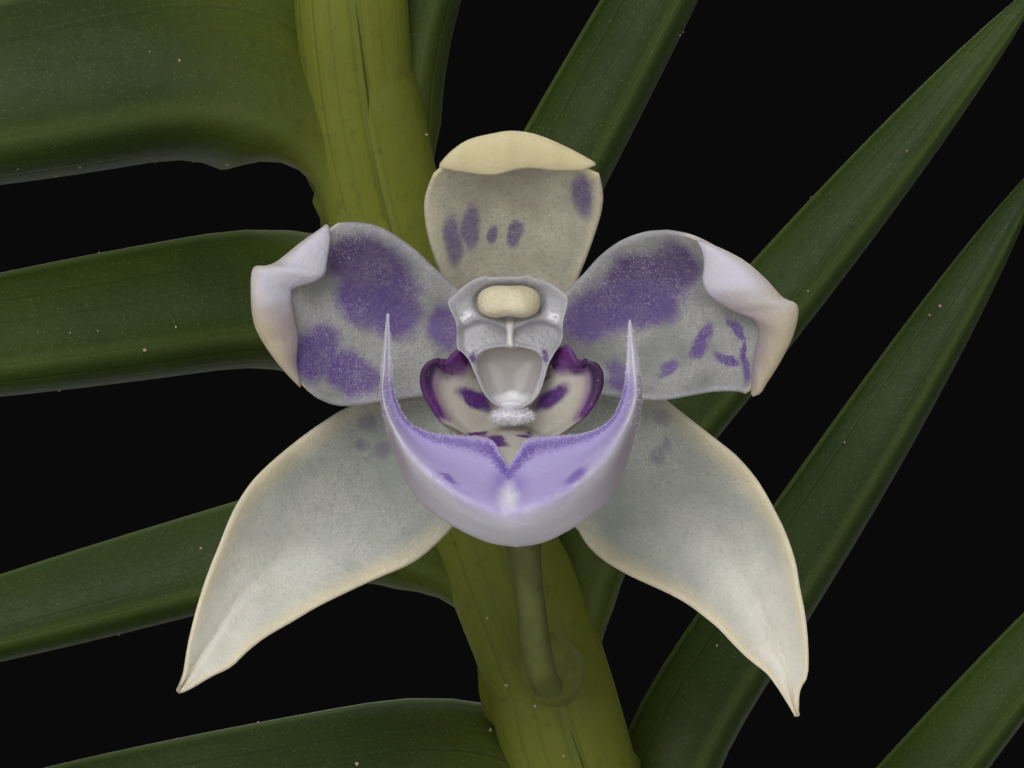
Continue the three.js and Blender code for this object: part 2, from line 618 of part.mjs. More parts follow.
// The lip: the bowl, a claw that runs forward from it, and the anchor at the claw's end.
function buildLip(rows, columns) {
  const half = (mirror) => anchorSections.map((section, i) =>
    anchorRing(section, mirror, i / anchorSections.length),
  );
  const right = half(1);
  const left = half(-1).slice(1).reverse();
  const [x, y, z] = hornTip;
  const anchor = loft([[point(-x, y, z)], ...left, ...right, [point(x, y, z)]]);
  const claw = tube(pointsOf(clawLine), clawRadii, 6, 5);
  return toGeometry(fuse([anchor, bladeGeometry(bowlShape, rows, columns), claw]));
}

// The column's face as [x, z], its depths as [y, size of the face there], and the height it shrinks to.
const columnOutline = [
  [0, 3.95], [0.6, 3.85], [1.35, 3.5], [1.75, 3], [1.7, 2.4], [1.55, 1.8], [1.4, 1.1], [1.1, 0.4],
  [0.75, -0.1], [0, -0.35], [-0.75, -0.1], [-1.1, 0.4], [-1.4, 1.1], [-1.6, 1.8], [-1.85, 2.4], [-2, 3.1],
  [-1.5, 3.55], [-0.75, 3.85],
];
const columnDepths = [[-0.55, 0.6], [-2.2, 0.85], [-3.6, 1]];
const columnHeart = 1.5;

// A round lump with these half sizes, at a place.
function lump(halfSize, place) {
  return new THREE.SphereGeometry(1, 8, 6).scale(...halfSize).translate(...place);
}

// The column: a stout stalk with a winged hood and a round hollow below it.
function buildColumn() {
  const rings = columnDepths.map(([y, size]) =>
    columnOutline.map(([x, z]) => point(x * size, y, columnHeart + (z - columnHeart) * size)),
  );
  const hollow = lump([1.05, 1.3, 0.95], [0, -3.9, 0.75]);
  return toGeometry(toSolid(loft(rings)).subtract(toSolid(hollow)));
}

// The pollen cap: two rounded lobes side by side.
function buildAntherCap() {
  const lobes = [-0.42, 0.42].map((x) => lump([0.6, 0.34, 0.53], [x, -4.3, 3.1]));
  return toGeometry(fuse(lobes));
}

// The stalk of a bloom from a stem to its back, with a smooth ovary at the top and a bract at the foot.
function buildPedicel(from, to) {
  const sag = point(0, 0, from.distanceTo(to) * 0.22);
  const line = [from, from.clone().lerp(to, 0.4).sub(sag), to.clone().add(point(0, 2.5, -1.6)), to];
  const stalk = tube(line, [PEDICEL_RADIUS, PEDICEL_RADIUS, OVARY_RADIUS, OVARY_RADIUS], 6, 7);
  const away = line[1].clone().sub(from).normalize();
  const bractTip = from.clone().addScaledVector(away, BRACT_LENGTH).add(point(0, 0, 0.9));
  const bract = tube([from, from.clone().lerp(bractTip, 0.5), bractTip], [0.9, 1.15, 0.25], 5, 3);
  return toGeometry(fuse([stalk, bract]));
}

// A whole bloom in a group of its own, at a place, nodding by the pitch and turned by the yaw.
function addBloom(name, { centre, yaw, pitch, stemPoint }, rows, columns) {
  const bloom = new THREE.Group();
  bloom.position.copy(centre);
  bloom.rotation.set(radians(pitch), 0, radians(yaw), "ZYX");
  plant.add(bloom);
  bloom.updateMatrixWorld(true);
  add(name + "_dorsal_sepal", organ(dorsalSepal, rows, columns), sepalCream, bloom);
  add(name + "_left_sepal", organ(leftSepal, rows + 1, columns), sepalCream, bloom);
  add(name + "_right_sepal", organ(rightSepal, rows + 1, columns), sepalCream, bloom);
  add(name + "_left_petal", organ(leftPetal, rows, columns), petalViolet, bloom);
  add(name + "_right_petal", organ(rightPetal, rows, columns), petalViolet, bloom);
  add(name + "_lip", buildLip(rows + 2, columns), lipLavender, bloom);
  add(name + "_column", buildColumn(), columnWhite, bloom);
  add(name + "_anther_cap", buildAntherCap(), antherYellow, bloom);
  const foot = bloom.worldToLocal(stemPoint.clone());
  add(name + "_pedicel", buildPedicel(foot, point(0, BLOOM_BACK, 0)), pedicelGreen, bloom);
}

// The place beside a stem at a length from its foot where a stalk or a bud springs, clear of the stem.
function axil(stem, length) {
  const { centre, normal } = frameAt(stem, length);
  return centre.clone().addScaledVector(normal, stem.radius + AXIL_GAP);
}

// Where a bloom sits in front of a stem, looking away from it and a little upward.
function perch(stem, length) {
  const { centre, normal, tangent } = frameAt(stem, length);
  const place = centre.clone().addScaledVector(normal, PERCH_OUT).addScaledVector(tangent, PERCH_UP);
  const yaw = THREE.MathUtils.radToDeg(Math.atan2(normal.x, -normal.y));
  return { centre: place, yaw, pitch: PERCH_PITCH, stemPoint: axil(stem, length) };
}

// A bud's radii along its length: the stalk, then the closed bud, to its tip.
const budRadii = [0.55, 0.6, 1, 2.1, 2.5, 1.8, 0.3];

// A closed bud on a short stalk that springs from a stem at a length from its foot.
function addBud(name, stem, length) {
  const foot = axil(stem, length);
  const { normal, tangent } = frameAt(stem, length);
  const lean = normal.clone().addScaledVector(tangent, 0.7).normalize();
  const step = (reach, lift) => foot.clone().addScaledVector(lean, reach).addScaledVector(tangent, lift);
  const line = [foot, step(2.2, -0.3), step(4.6, 0.2), step(7.2, 1.2), step(9.6, 2.4)];
  add(name, toGeometry(toSolid(tube(line, budRadii, 7, 9))), sepalCream);
}

add("pot", buildPot(), clay);
add("bark_mix", buildBark(stems), bark);
stems.forEach((stem) => add(stem.name, buildLeafyStem(stem), leafGreen));
addBloom("bloom_a", { centre: BLOOM_CENTRE, yaw: 0, pitch: 0, stemPoint: axil(frontStem, 108) }, 5, 4);
addBloom("bloom_b", perch(frontRightStem, 52), 4, 3);
addBloom("bloom_c", perch(leftStem, 66), 4, 3);
addBud("bud_a", frontStem, 92);
addBud("bud_b", rightStem, 62);

export default plant;
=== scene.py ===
"""The look of a potted Dichaea orchid: clay pot, bark, leafy stems in two ranks, blooms and buds.

Lengths in the classes below are millimetres; meshes are made in metres. A bloom's own frame has X to
the right, Z up, and faces -Y.
"""
import functools
import logging
import math
from dataclasses import dataclass, field, replace
from enum import Enum
from typing import Any, Callable, Iterable, Sequence

import bmesh
import bpy
import numpy as np
from bpy.types import Material, Mesh, Modifier, Node, NodeSocket, NodeTree, Object
from mathutils import Euler, Matrix, Vector

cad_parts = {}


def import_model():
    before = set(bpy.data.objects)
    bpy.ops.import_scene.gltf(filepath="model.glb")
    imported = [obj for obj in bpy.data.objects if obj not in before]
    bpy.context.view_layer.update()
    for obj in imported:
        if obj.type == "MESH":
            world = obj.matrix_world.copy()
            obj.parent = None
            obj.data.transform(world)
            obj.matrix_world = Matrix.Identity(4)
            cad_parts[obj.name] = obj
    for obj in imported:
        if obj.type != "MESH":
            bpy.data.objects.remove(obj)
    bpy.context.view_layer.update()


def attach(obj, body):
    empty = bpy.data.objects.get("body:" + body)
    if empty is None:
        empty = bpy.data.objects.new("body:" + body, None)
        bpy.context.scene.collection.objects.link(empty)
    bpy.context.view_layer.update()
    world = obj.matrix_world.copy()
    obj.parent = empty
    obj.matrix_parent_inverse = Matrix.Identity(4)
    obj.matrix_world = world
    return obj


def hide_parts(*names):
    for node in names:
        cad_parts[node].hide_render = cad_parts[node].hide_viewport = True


LOG = logging.getLogger("orchid")
MM = 0.001
TURN = 2 * math.pi
BACKWARD = np.array([0.0, 1.0, 0.0])
Rows = np.ndarray
Curve = Sequence[Sequence[float]]
Colour = tuple[float, float, float]


def draw(item: float, purpose: float) -> float:
    """A repeatable draw from 0 to 1 for the item with this number and purpose."""
    wave = math.sin(item * 12.9898 + purpose * 78.233) * 43758.5453
    return wave - math.floor(wave)


def smooth(low: float, high: float, value: Any) -> Any:
    """A soft step from 0 at low to 1 at high."""
    share = np.clip((np.asarray(value, float) - low) / (high - low), 0, 1)
    return share * share * (3 - 2 * share)


def unit(vectors: Rows) -> Rows:
    """The vectors with length one."""
    return vectors / np.maximum(np.linalg.norm(vectors, axis=-1, keepdims=True), 1e-9)


def heading(turn: float) -> Rows:
    """The level direction at this angle."""
    return np.array([math.cos(turn), math.sin(turn), 0.0])


def circle(count: int) -> Rows:
    """Angles evenly round a full turn."""
    return np.linspace(0, TURN, count, endpoint=False)


def triple(*numbers: Any) -> Rows:
    """Numbers, or grids of them, side by side as rows of three."""
    return np.stack(np.broadcast_arrays(*numbers), axis=-1)


def between(corners: Iterable[Rows], w: Any, tight: float = 0.5) -> Rows:
    """A place between the second and the third of four points, on a smooth curve through them.

    Args:
        corners: The four points.
        w: The share of the way between them, from 0 to 1.
        tight: How strongly the neighbours bend the curve.

    Returns:
        The place.
    """
    a, b, c, d = corners
    leave, arrive = tight * (c - a), tight * (d - b)
    square = 3 * (c - b) - 2 * leave - arrive
    return b + leave * w + square * w**2 + (2 * (b - c) + leave + arrive) * w**3


def along(points: Curve, shares: Any) -> Rows:
    """Places on the smooth curve through some points.

    Args:
        points: The points that the curve passes through.
        shares: How far along each place is, from 0 to 1.

    Returns:
        One row of coordinates for each share.
    """
    line = np.asarray(points, float)
    line = np.vstack([2 * line[0] - line[1], line, 2 * line[-1] - line[-2]])
    place = np.clip(np.atleast_1d(np.asarray(shares, float)), 0, 1) * (len(line) - 3)
    first = np.minimum(place.astype(int), len(line) - 4)
    return between((line[first + k] for k in range(4)), (place - first)[:, None])


def rows_at(wanted: Any, places: Rows, rows: Rows) -> Rows:
    """Rows of coordinates at the wanted places, read off between rows that are given at some places."""
    return np.stack([np.interp(wanted, places, column) for column in rows.T], axis=1)


def evenly(points: Curve, count: int) -> Rows:
    """Places a like distance apart on the smooth curve through some points.

    Args:
        points: The points that the curve passes through.
        count: How many places there are.

    Returns:
        One row of coordinates for each place.
    """
    fine = along(points, np.linspace(0, 1, 400))
    gone = np.concatenate([[0], np.cumsum(np.linalg.norm(np.diff(fine, axis=0), axis=1))])
    return rows_at(np.linspace(0, gone[-1], count), gone, fine)


# Meshes


@dataclass
class Skin:
    """Points and faces that grow into one mesh, with the values that its material reads."""

    points: list[Rows] = field(default_factory=list)
    faces: list[tuple[int, ...]] = field(default_factory=list)
    values: dict[str, list[Rows]] = field(default_factory=dict)
    count: int = 0

    def add(self, points: Rows, **values: Rows) -> int:
        """Adds points with their values.

        Args:
            points: One row for each point.
            values: Rows of three numbers for each point, by the name of the attribute.

        Returns:
            The number of the first new point.
        """
        flat = np.asarray(points, float).reshape(-1, 3)
        self.points.append(flat)
        for name, rows in values.items():
            self.values.setdefault(name, []).append(np.asarray(rows, float).reshape(-1, 3))
        start, self.count = self.count, self.count + len(flat)
        return start

    def sheet(self, start: int, rows: int, columns: int, closed: bool = False) -> None:
        """Joins points that were added row by row into a grid of faces, or a closed band of them.

        Args:
            start: The number of the first point.
            rows: How many rows there are.
            columns: How many points each row has.
            closed: Whether each row is a ring.
        """
        for i in range(rows - 1):
            for j in range(columns if closed else columns - 1):
                a, b = start + i * columns + j, start + i * columns + (j + 1) % columns
                self.faces.append((a, b, b + columns, a + columns))

    def tube(self, rings: Rows, **values: Rows) -> None:
        """Adds rings of points as a closed body with flat ends.

        Args:
            rings: The points, ring by ring.
            values: The values of each point, by attribute.
        """
        rows, columns = rings.shape[:2]
        start = self.add(rings, **values)
        self.sheet(start, rows, columns, closed=True)
        self.faces.append(tuple(range(start, start + columns)))
        self.faces.append(tuple(range(start + (rows - 1) * columns, start + rows * columns)))

    def shell(self, front: Rows, thick: Rows, away: Rows, **values: Rows) -> None:
        """Adds a blade with a front, a back and a rounded rim.

        Args:
            front: The front face as rows and columns of points.
            thick: The thickness at each of them.
            away: A direction, or one for each point, that the back lies in.
            values: The values of each point, by attribute.
        """
        rows, columns = front.shape[:2]
        normal = unit(np.cross(np.gradient(front, axis=0), np.gradient(front, axis=1)))
        normal *= np.sign(np.sum(normal * away, axis=-1, keepdims=True) + 1e-12)
        back = front + normal * thick[..., None]
        edge = [(0, j) for j in range(columns)] + [(i, columns - 1) for i in range(1, rows)]
        edge += [(rows - 1, j) for j in range(columns - 2, -1, -1)]
        edge += [(i, 0) for i in range(rows - 2, 0, -1)]
        at_rows, at_columns = np.array(edge).T
        inner = front[np.clip(at_rows, 1, rows - 2), np.clip(at_columns, 1, columns - 2)]
        outward = unit(front[at_rows, at_columns] - inner)
        middle = (front[at_rows, at_columns] + back[at_rows, at_columns]) / 2
        middle = middle + outward * thick[at_rows, at_columns, None] * 0.5
        first = self.add(front, **values)
        second = self.add(back, **values)
        rim = self.add(middle, **{k: np.asarray(v)[at_rows, at_columns] for k, v in values.items()})
        self.sheet(first, rows, columns)
        self.sheet(second, rows, columns)
        size = len(edge)
        for k in range(size):
            here, there = edge[k], edge[(k + 1) % size]
            for base in (first, second):
                a, b = (base + e[0] * columns + e[1] for e in (here, there))
                self.faces.append((a, b, rim + (k + 1) % size, rim + k))

    def build(self, name: str, finish: Material | None = None, place: Matrix | None = None,
              weld: float = 0.002) -> Object:
        """Makes the object.

        Args:
            name: Its name.
            finish: Its material.
            place: The frame that the points are in.
            weld: How near two points are to become one.

        Returns:
            An object at the origin with its faces turned out.
        """
        mesh = bpy.data.meshes.new(name)
        mesh.from_pydata(np.concatenate(self.points).tolist(), [], self.faces)
        for key, rows in self.values.items():
            flat = np.concatenate(rows).astype(np.float32).ravel()
            mesh.attributes.new(key, "FLOAT_VECTOR", "POINT").data.foreach_set("vector", flat)
        if place is not None:
            mesh.transform(place)
        mesh.transform(Matrix.Scale(MM, 4))
        turn_out(mesh, weld * MM)
        mesh.polygons.foreach_set("use_smooth", [True] * len(mesh.polygons))
        if finish:
            mesh.materials.append(finish)
        return put(name, mesh)


def put(name: str, data: Any) -> Object:
    """Puts a new object in the scene.

    Args:
        name: Its name.
        data: Its mesh, lamp or camera.

    Returns:
        The object.
    """
    made = bpy.data.objects.new(name, data)
    bpy.context.scene.collection.objects.link(made)
    return made


def settle(host: Object, modifier: Modifier) -> None:
    """Gives an object the plain mesh that its modifier makes, and takes the modifier off.

    Args:
        host: The object.
        modifier: Its modifier.
    """
    graph = bpy.context.evaluated_depsgraph_get()
    made = bpy.data.meshes.new_from_object(host.evaluated_get(graph))
    host.modifiers.remove(modifier)
    made.name = host.name
    host.data = made


def turn_out(mesh: Mesh, weld: float) -> None:
    """Merges a mesh's doubled points and turns all its faces to the outside.

    Args:
        mesh: The mesh.
        weld: How near two points are to become one, in metres.
    """
    work = bmesh.new()
    work.from_mesh(mesh)
    bmesh.ops.remove_doubles(work, verts=work.verts, dist=weld)
    bmesh.ops.dissolve_degenerate(work, edges=work.edges, dist=weld * 0.1)
    bmesh.ops.recalc_face_normals(work, faces=work.faces)
    work.to_mesh(mesh)
    work.free()


def drop(*objects: Object) -> None:
    """Takes helper objects out of the file."""
    for helper in objects:
        bpy.data.objects.remove(helper, do_unlink=True)


def dress(piece: Object, slot: str, *nodes: str) -> Object:
    """Hands a finished piece to the frame: what it stands for and what it rides on.

    Args:
        piece: The piece.
        slot: Not used.
        nodes: The nodes that it stands for.

    Returns:
        The piece.
    """
    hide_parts(*nodes)
    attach(piece, "root")
    LOG.info("%s: %d faces", piece.name, len(piece.data.polygons))
    return piece


def body(name: str, rings: Rows, finish: Material | None = None, place: Matrix | None = None,
         **values: Rows) -> Object:
    """Makes an object of its own from rings of points.

    Args:
        name: Its name.
        rings: The points, ring by ring.
        finish: Its material.
        place: The frame that the points are in.
        values: The values of each point, by attribute.

    Returns:
        The object.
    """
    skin = Skin()
    skin.tube(rings, **values)
    return skin.build(name, finish, place)


def rods(line: Rows, radii: Any, sides: int) -> Rows:
    """Rings round a line of points, for a tube with these radii.

    Args:
        line: The points.
        radii: One radius, or one for each point.
        sides: How many points each ring has.

    Returns:
        The rings' points.
    """
    tangent = unit(np.gradient(line, axis=0))
    normal = np.zeros_like(line)
    guess = np.array([0.31, 0.2, 0.93]) if abs(tangent[0][2]) < 0.9 else np.array([0.9, 0.3, 0.1])
    for i, t in enumerate(tangent):
        guess = unit(guess - t * np.dot(guess, t))
        normal[i] = guess
    side = np.cross(tangent, normal)
    turn = circle(sides)
    radii = np.broadcast_to(np.asarray(radii, float), (len(line),))[:, None, None]
    ring = normal[:, None] * np.cos(turn)[None, :, None] + side[:, None] * np.sin(turn)[None, :, None]
    return line[:, None] + ring * radii


# Node trees


class Tree:
    """A node tree that is built one node at a time."""

    def __init__(self, tree: NodeTree) -> None:
        """Takes an empty tree."""
        self.tree = tree
        tree.nodes.clear()

    def node(self, kind: str, values: dict[Any, Any] | None = None, **settings: Any) -> Node:
        """Adds one node.

        Args:
            kind: The node's type.
            values: Its sockets by name or number, each with a plain value or what is linked to it.
            settings: Its own properties, which are set first.

        Returns:
            The new node.
        """
        made = self.tree.nodes.new(kind)
        for key, value in settings.items():
            setattr(made, key, value)
        for key, value in (values or {}).items():
            source = getattr(value, "socket", value)
            if isinstance(source, NodeSocket):
                self.tree.links.new(source, made.inputs[key])
            else:
                made.inputs[key].default_value = source
        return made

    def sum(self, operation: str, *terms: Any) -> "Flow":
        """The result of one Math node."""
        made = self.node("ShaderNodeMath", dict(enumerate(terms)), operation=operation)
        return Flow(self, made.outputs[0])

    def parts(self, vector: Any) -> tuple["Flow", "Flow", "Flow"]:
        """The three numbers of a vector."""
        split = self.node("ShaderNodeSeparateXYZ", {0: vector})
        return tuple(Flow(self, out) for out in split.outputs)

    def joined(self, x: Any, y: Any, z: Any) -> NodeSocket:
        """Three numbers as a vector."""
        return self.node("ShaderNodeCombineXYZ", {0: x, 1: y, 2: z}).outputs[0]


def operator(operation: str, reflected: bool = False) -> Callable[["Flow", Any], "Flow"]:
    """A method that joins a flow and another value by a Math node, with the other in front if reflected.

    Args:
        operation: The node's operation.
        reflected: Whether the other value comes first.

    Returns:
        The method.
    """
    def method(flow: "Flow", other: Any) -> "Flow":
        """The result of the two."""
        return flow.tree.sum(operation, *((other, flow) if reflected else (flow, other)))
    return method


@dataclass
class Flow:
    """A number that flows through a tree, with which sums can be written."""

    tree: Tree
    socket: NodeSocket

    __add__, __radd__ = operator("ADD"), operator("ADD", True)
    __sub__, __rsub__ = operator("SUBTRACT"), operator("SUBTRACT", True)
    __mul__, __rmul__ = operator("MULTIPLY"), operator("MULTIPLY", True)
    __truediv__, most, least = operator("DIVIDE"), operator("MAXIMUM"), operator("MINIMUM")

    def size(self) -> "Flow":
        """The value without its sign."""
        return self.tree.sum("ABSOLUTE", self)

    def wave(self) -> "Flow":
        """The sine."""
        return self.tree.sum("SINE", self)

    def step(self, low: float, high: float) -> "Flow":
        """A soft step from 0 at low to 1 at high, where low may be the higher of the two.

        Args:
            low: Where the step starts.
            high: Where it ends.

        Returns:
            The step.
        """
        sockets = {0: self, 1: low, 2: high, 3: 0.0, 4: 1.0}
        made = self.tree.node("ShaderNodeMapRange", sockets, interpolation_type="SMOOTHSTEP")
        return Flow(self.tree, made.outputs[0])


def linear(red: int, green: int, blue: int) -> Colour:
    """A screen colour from 0 to 255 as light.

    Args:
        red: The red level.
        green: The green level.
        blue: The blue level.

    Returns:
        The three channels from 0 to 1.
    """
    def light(level: int) -> float:
        """One channel."""
        share = level / 255
        return share / 12.92 if share <= 0.04045 else ((share + 0.055) / 1.055) ** 2.4
    return light(red), light(green), light(blue)


class Paint(Tree):
    """One material: its tree, and the patterns that the finishes are painted with."""

    def __init__(self, name: str, colour: Colour) -> None:
        """Makes an empty material.

        Args:
            name: Its name.
            colour: The colour that it starts from.
        """
        self.colour: Any = colour
        self.material = bpy.data.materials.new(name)
        self.material.use_nodes = True
        super().__init__(self.material.node_tree)
        place = self.node("ShaderNodeTexCoord").outputs["Object"]
        scaled = self.node("ShaderNodeVectorMath", {0: place, "Scale": 1 / MM}, operation="SCALE")
        self.place = scaled.outputs[0]

    def attribute(self, name: str) -> NodeSocket:
        """A value that the mesh holds."""
        return self.node("ShaderNodeAttribute", attribute_name=name).outputs["Vector"]

    def noise(self, scale: float, detail: float = 2.0, rough: float = 0.5, at: Any = None) -> Flow:
        """A soft cloud pattern from 0 to 1.

        Args:
            scale: How many clouds there are to a millimetre.
            detail: How many finer layers it has.
            rough: How strong they are.
            at: The place, or nothing for the object's own.

        Returns:
            The pattern.
        """
        made = self.node("ShaderNodeTexNoise", {
            "Vector": at or self.place, "Scale": scale, "Detail": detail, "Roughness": rough,
        })
        return Flow(self, made.outputs[0])

    def cells(self, scale: float) -> tuple[Flow, Flow]:
        """A pattern of cells: the distance from each cell's middle, and a number of its own."""
        made = self.node("ShaderNodeTexVoronoi", {"Vector": self.place, "Scale": scale})
        return Flow(self, made.outputs["Distance"]), self.parts(made.outputs["Color"])[0]

    def specks(self, scale: float, size: float, share: float) -> Flow:
        """Small round specks, where only a share of the cells holds one."""
        distance, number = self.cells(scale)
        return distance.step(size, size * 0.4) * number.step(1 - share, 1 - share * 0.6)

    def mix(self, share: Any, first: Any, second: Any) -> NodeSocket:
        """A colour between two.

        Args:
            share: How much of the second it has, from 0 to 1.
            first: The first colour.
            second: The second colour.

        Returns:
            The mixed colour.
        """
        full = [(*c, 1.0) if isinstance(c, tuple) else c for c in (first, second)]
        made = self.node("ShaderNodeMix", {0: share, 6: full[0], 7: full[1]}, data_type="RGBA")
        return made.outputs[2]

    def lay(self, share: Any, colour: Any) -> None:
        """Lays a share of a colour over what is painted so far."""
        self.colour = self.mix(share, self.colour, colour)

    def spot(self, at: Any, mark: Sequence[float], soft: float) -> Flow:
        """A soft-edged oval mark.

        Args:
            at: The place as a vector with X across and Z up.
            mark: The centre's x and z, the half sizes along x and z, and the turn in degrees.
            soft: How wide the edge is, as a share of the mark.

        Returns:
            1 inside and 0 outside.
        """
        x, z, wide, high, turn = mark
        inside = self.node("ShaderNodeMapping", {
            "Vector": at, "Location": (x, 0, z), "Rotation": (0, -math.radians(turn), 0),
            "Scale": (wide, 1, high),
        }, vector_type="TEXTURE")
        reach = self.node("ShaderNodeVectorMath", {0: inside.outputs[0]}, operation="LENGTH")
        return Flow(self, reach.outputs["Value"]).step(1 + soft, 1 - soft)

    def marks(self, at: Any, marks: Iterable[Sequence[float]], soft: float) -> Flow:
        """Several soft-edged oval marks together."""
        return functools.reduce(Flow.most, [self.spot(at, mark, soft) for mark in marks])

    def close(self, rough: Any, relief: Any = None, depth: float = 0.05, **fixed: Any) -> Material:
        """Ends the material with its shader.

        Args:
            rough: The roughness.
            relief: A height pattern in bump depths, or nothing.
            depth: The bump's depth in millimetres.
            fixed: The shader's other sockets by name, with _ for each space.

        Returns:
            The finished material.
        """
        base = (*self.colour, 1.0) if isinstance(self.colour, tuple) else self.colour
        values: dict[Any, Any] = {"Base Color": base, "Roughness": rough}
        if relief is not None:
            bump = {"Strength": 1.0, "Distance": depth * MM, "Height": relief}
            values["Normal"] = self.node("ShaderNodeBump", bump).outputs[0]
        values.update({key.replace("_", " "): value for key, value in fixed.items()})
        shader = self.node("ShaderNodeBsdfPrincipled", values)
        self.node("ShaderNodeOutputMaterial", {0: shader.outputs[0]})
        return self.material


# Finishes


@dataclass(frozen=True)
class Tissue:
    """How light sinks into soft plant tissue."""

    weight: float
    radius: Colour
    scale: float = 0.6

    def sockets(self) -> dict[str, Any]:
        """The shader sockets that hold it.

        Returns:
            Their values by name, with _ for each space.
        """
        return {
            "Subsurface_Weight": self.weight, "Subsurface_Radius": self.radius,
            "Subsurface_Scale": self.scale * MM,
        }


@dataclass(frozen=True)
class Clay:
    """Fired clay with a pale mineral bloom and darker damp patches."""

    body: Colour = linear(176, 104, 70)
    dark: Colour = linear(132, 72, 48)
    bloom: Colour = linear(205, 178, 152)

    def paint(self) -> Material:
        """Makes the material.

        Returns:
            The material.
        """
        p = Paint("clay", self.dark)
        _, _, z = p.parts(p.place)
        large, fine = p.noise(0.05, 5, 0.6), p.noise(1.6, 6, 0.65)
        p.lay(large.step(0.38, 0.66), self.body)
        rings = ((z * 1.9 + p.noise(0.03) * 6).wave() * 0.5 + 0.5) * 0.25
        stain = p.noise(0.11, 6, 0.62) * 0.8 + z.step(56, 70) * 0.16 + z.step(10, 0) * 0.14
        crust = stain.step(0.47, 0.66) * fine.step(0.25, 0.6)
        p.lay(crust * 0.6, self.bloom)
        p.lay(p.specks(1.1, 0.3, 0.12) * 0.6, self.dark)
        p.lay(rings * 0.5, self.dark)
        rough = 0.82 + crust * 0.12
        return p.close(rough, fine * 0.6 + rings * 0.7 + p.noise(0.5, 4) * 0.8, 0.22)


@dataclass(frozen=True)
class Bark:
    """Weathered bark chips, each in its own brown."""

    deep: Colour = linear(52, 34, 24)
    warm: Colour = linear(121, 78, 50)
    grey: Colour = linear(136, 120, 104)

    def paint(self) -> Material:
        """Makes the material.

        Returns:
            The material.
        """
        p = Paint("bark", self.deep)
        tone, _, _ = p.parts(p.attribute("tone"))
        stretched = p.node("ShaderNodeMapping", {"Vector": p.place, "Scale": (1.0, 0.35, 2.2)})
        grain = p.noise(0.9, 6, 0.65, stretched.outputs[0])
        p.lay(grain.step(0.3, 0.72), self.warm)
        p.lay(tone.step(0.55, 1.0) * 0.65 * grain, self.grey)
        p.lay(tone.step(0.35, 0.0) * 0.6, self.deep)
        p.lay(p.specks(1.4, 0.3, 0.1) * 0.5, self.grey)
        return p.close(0.78 + grain * 0.18, grain + p.noise(3.0, 4) * 0.4, 0.5)


class LeafAge(Enum):
    """Whether a leaf base is green or dry."""

    GREEN = 0
    DRY = 1


@dataclass(frozen=True)
class Leaf:
    """Leaf tissue: fine parallel veins, pale dots, a painted highlight along the keel and margins, and
    yellow-green sheaths.
    """

    dark: Colour = linear(33, 47, 12)
    bright: Colour = linear(56, 72, 20)
    sheath: Colour = linear(124, 130, 46)
    # The keel colour is a painted highlight, laid along the keel and along the margins.
    keel: Colour = linear(104, 118, 62)
    dot: Colour = linear(120, 134, 84)
    dry: Colour = linear(142, 118, 82)
    husk: Colour = linear(84, 62, 40)
    gold: Colour = linear(150, 132, 48)

    def paint(self) -> Material:
        """Makes the material.

        Returns:
            The material.
        """
        p = Paint("leaf", self.dark)
        length, across, tone = p.parts(p.attribute("leaf"))
        share, side, age = p.parts(p.attribute("blade"))
        surface = p.joined(length * 0.12, across, tone * 40)
        broad = p.noise(0.16, 3, 0.55)
        p.lay(broad.step(0.3, 0.75) * 0.5 + tone * 0.5, self.bright)
        near = share.step(0.42, -0.05)
        p.lay(near * (0.45 + broad * 0.6), self.sheath)
        wander = p.noise(0.5, 3, 0.5, surface)
        vein = (across * 9.0 + wander * 3.5).wave().step(0.8, 1.0) * wander.step(0.35, 0.6)
        p.lay(vein * 0.2, self.dark)
        gold = (across * 15.0 + wander * 5.0).wave().step(0.85, 1.0) * near * wander.step(0.4, 0.6)
        p.lay(gold * 0.22, self.gold)
        dots, _ = p.cells(7.0)
        p.lay(dots.step(0.26, 0.1) * (0.16 + broad * 0.2), self.dot)
        mottle = p.noise(2.4, 3, 0.65)
        p.lay(mottle.step(0.5, 0.85) * 0.35, self.dark)
        # Painted highlight: a lighter band along the keel ridge, and below it a lighter edge at the margins.
        ridge = side.size().step(0.16, 0.0) * share.step(-0.1, 0.2)
        p.lay(ridge * 0.25, self.keel)
        margin = side.size().step(0.93, 1.0)
        p.lay(margin * 0.35, self.keel)
        dry = age * (0.75 + wander * 0.25)
        p.lay(dry, p.mix(mottle.step(0.3, 0.7), self.husk, self.dry))
        rough = 0.42 + mottle * 0.2 + dry * 0.3
        relief = vein * -0.25 + mottle * 0.6
        return p.close(rough, relief, 0.04, Specular_IOR_Level=0.2)


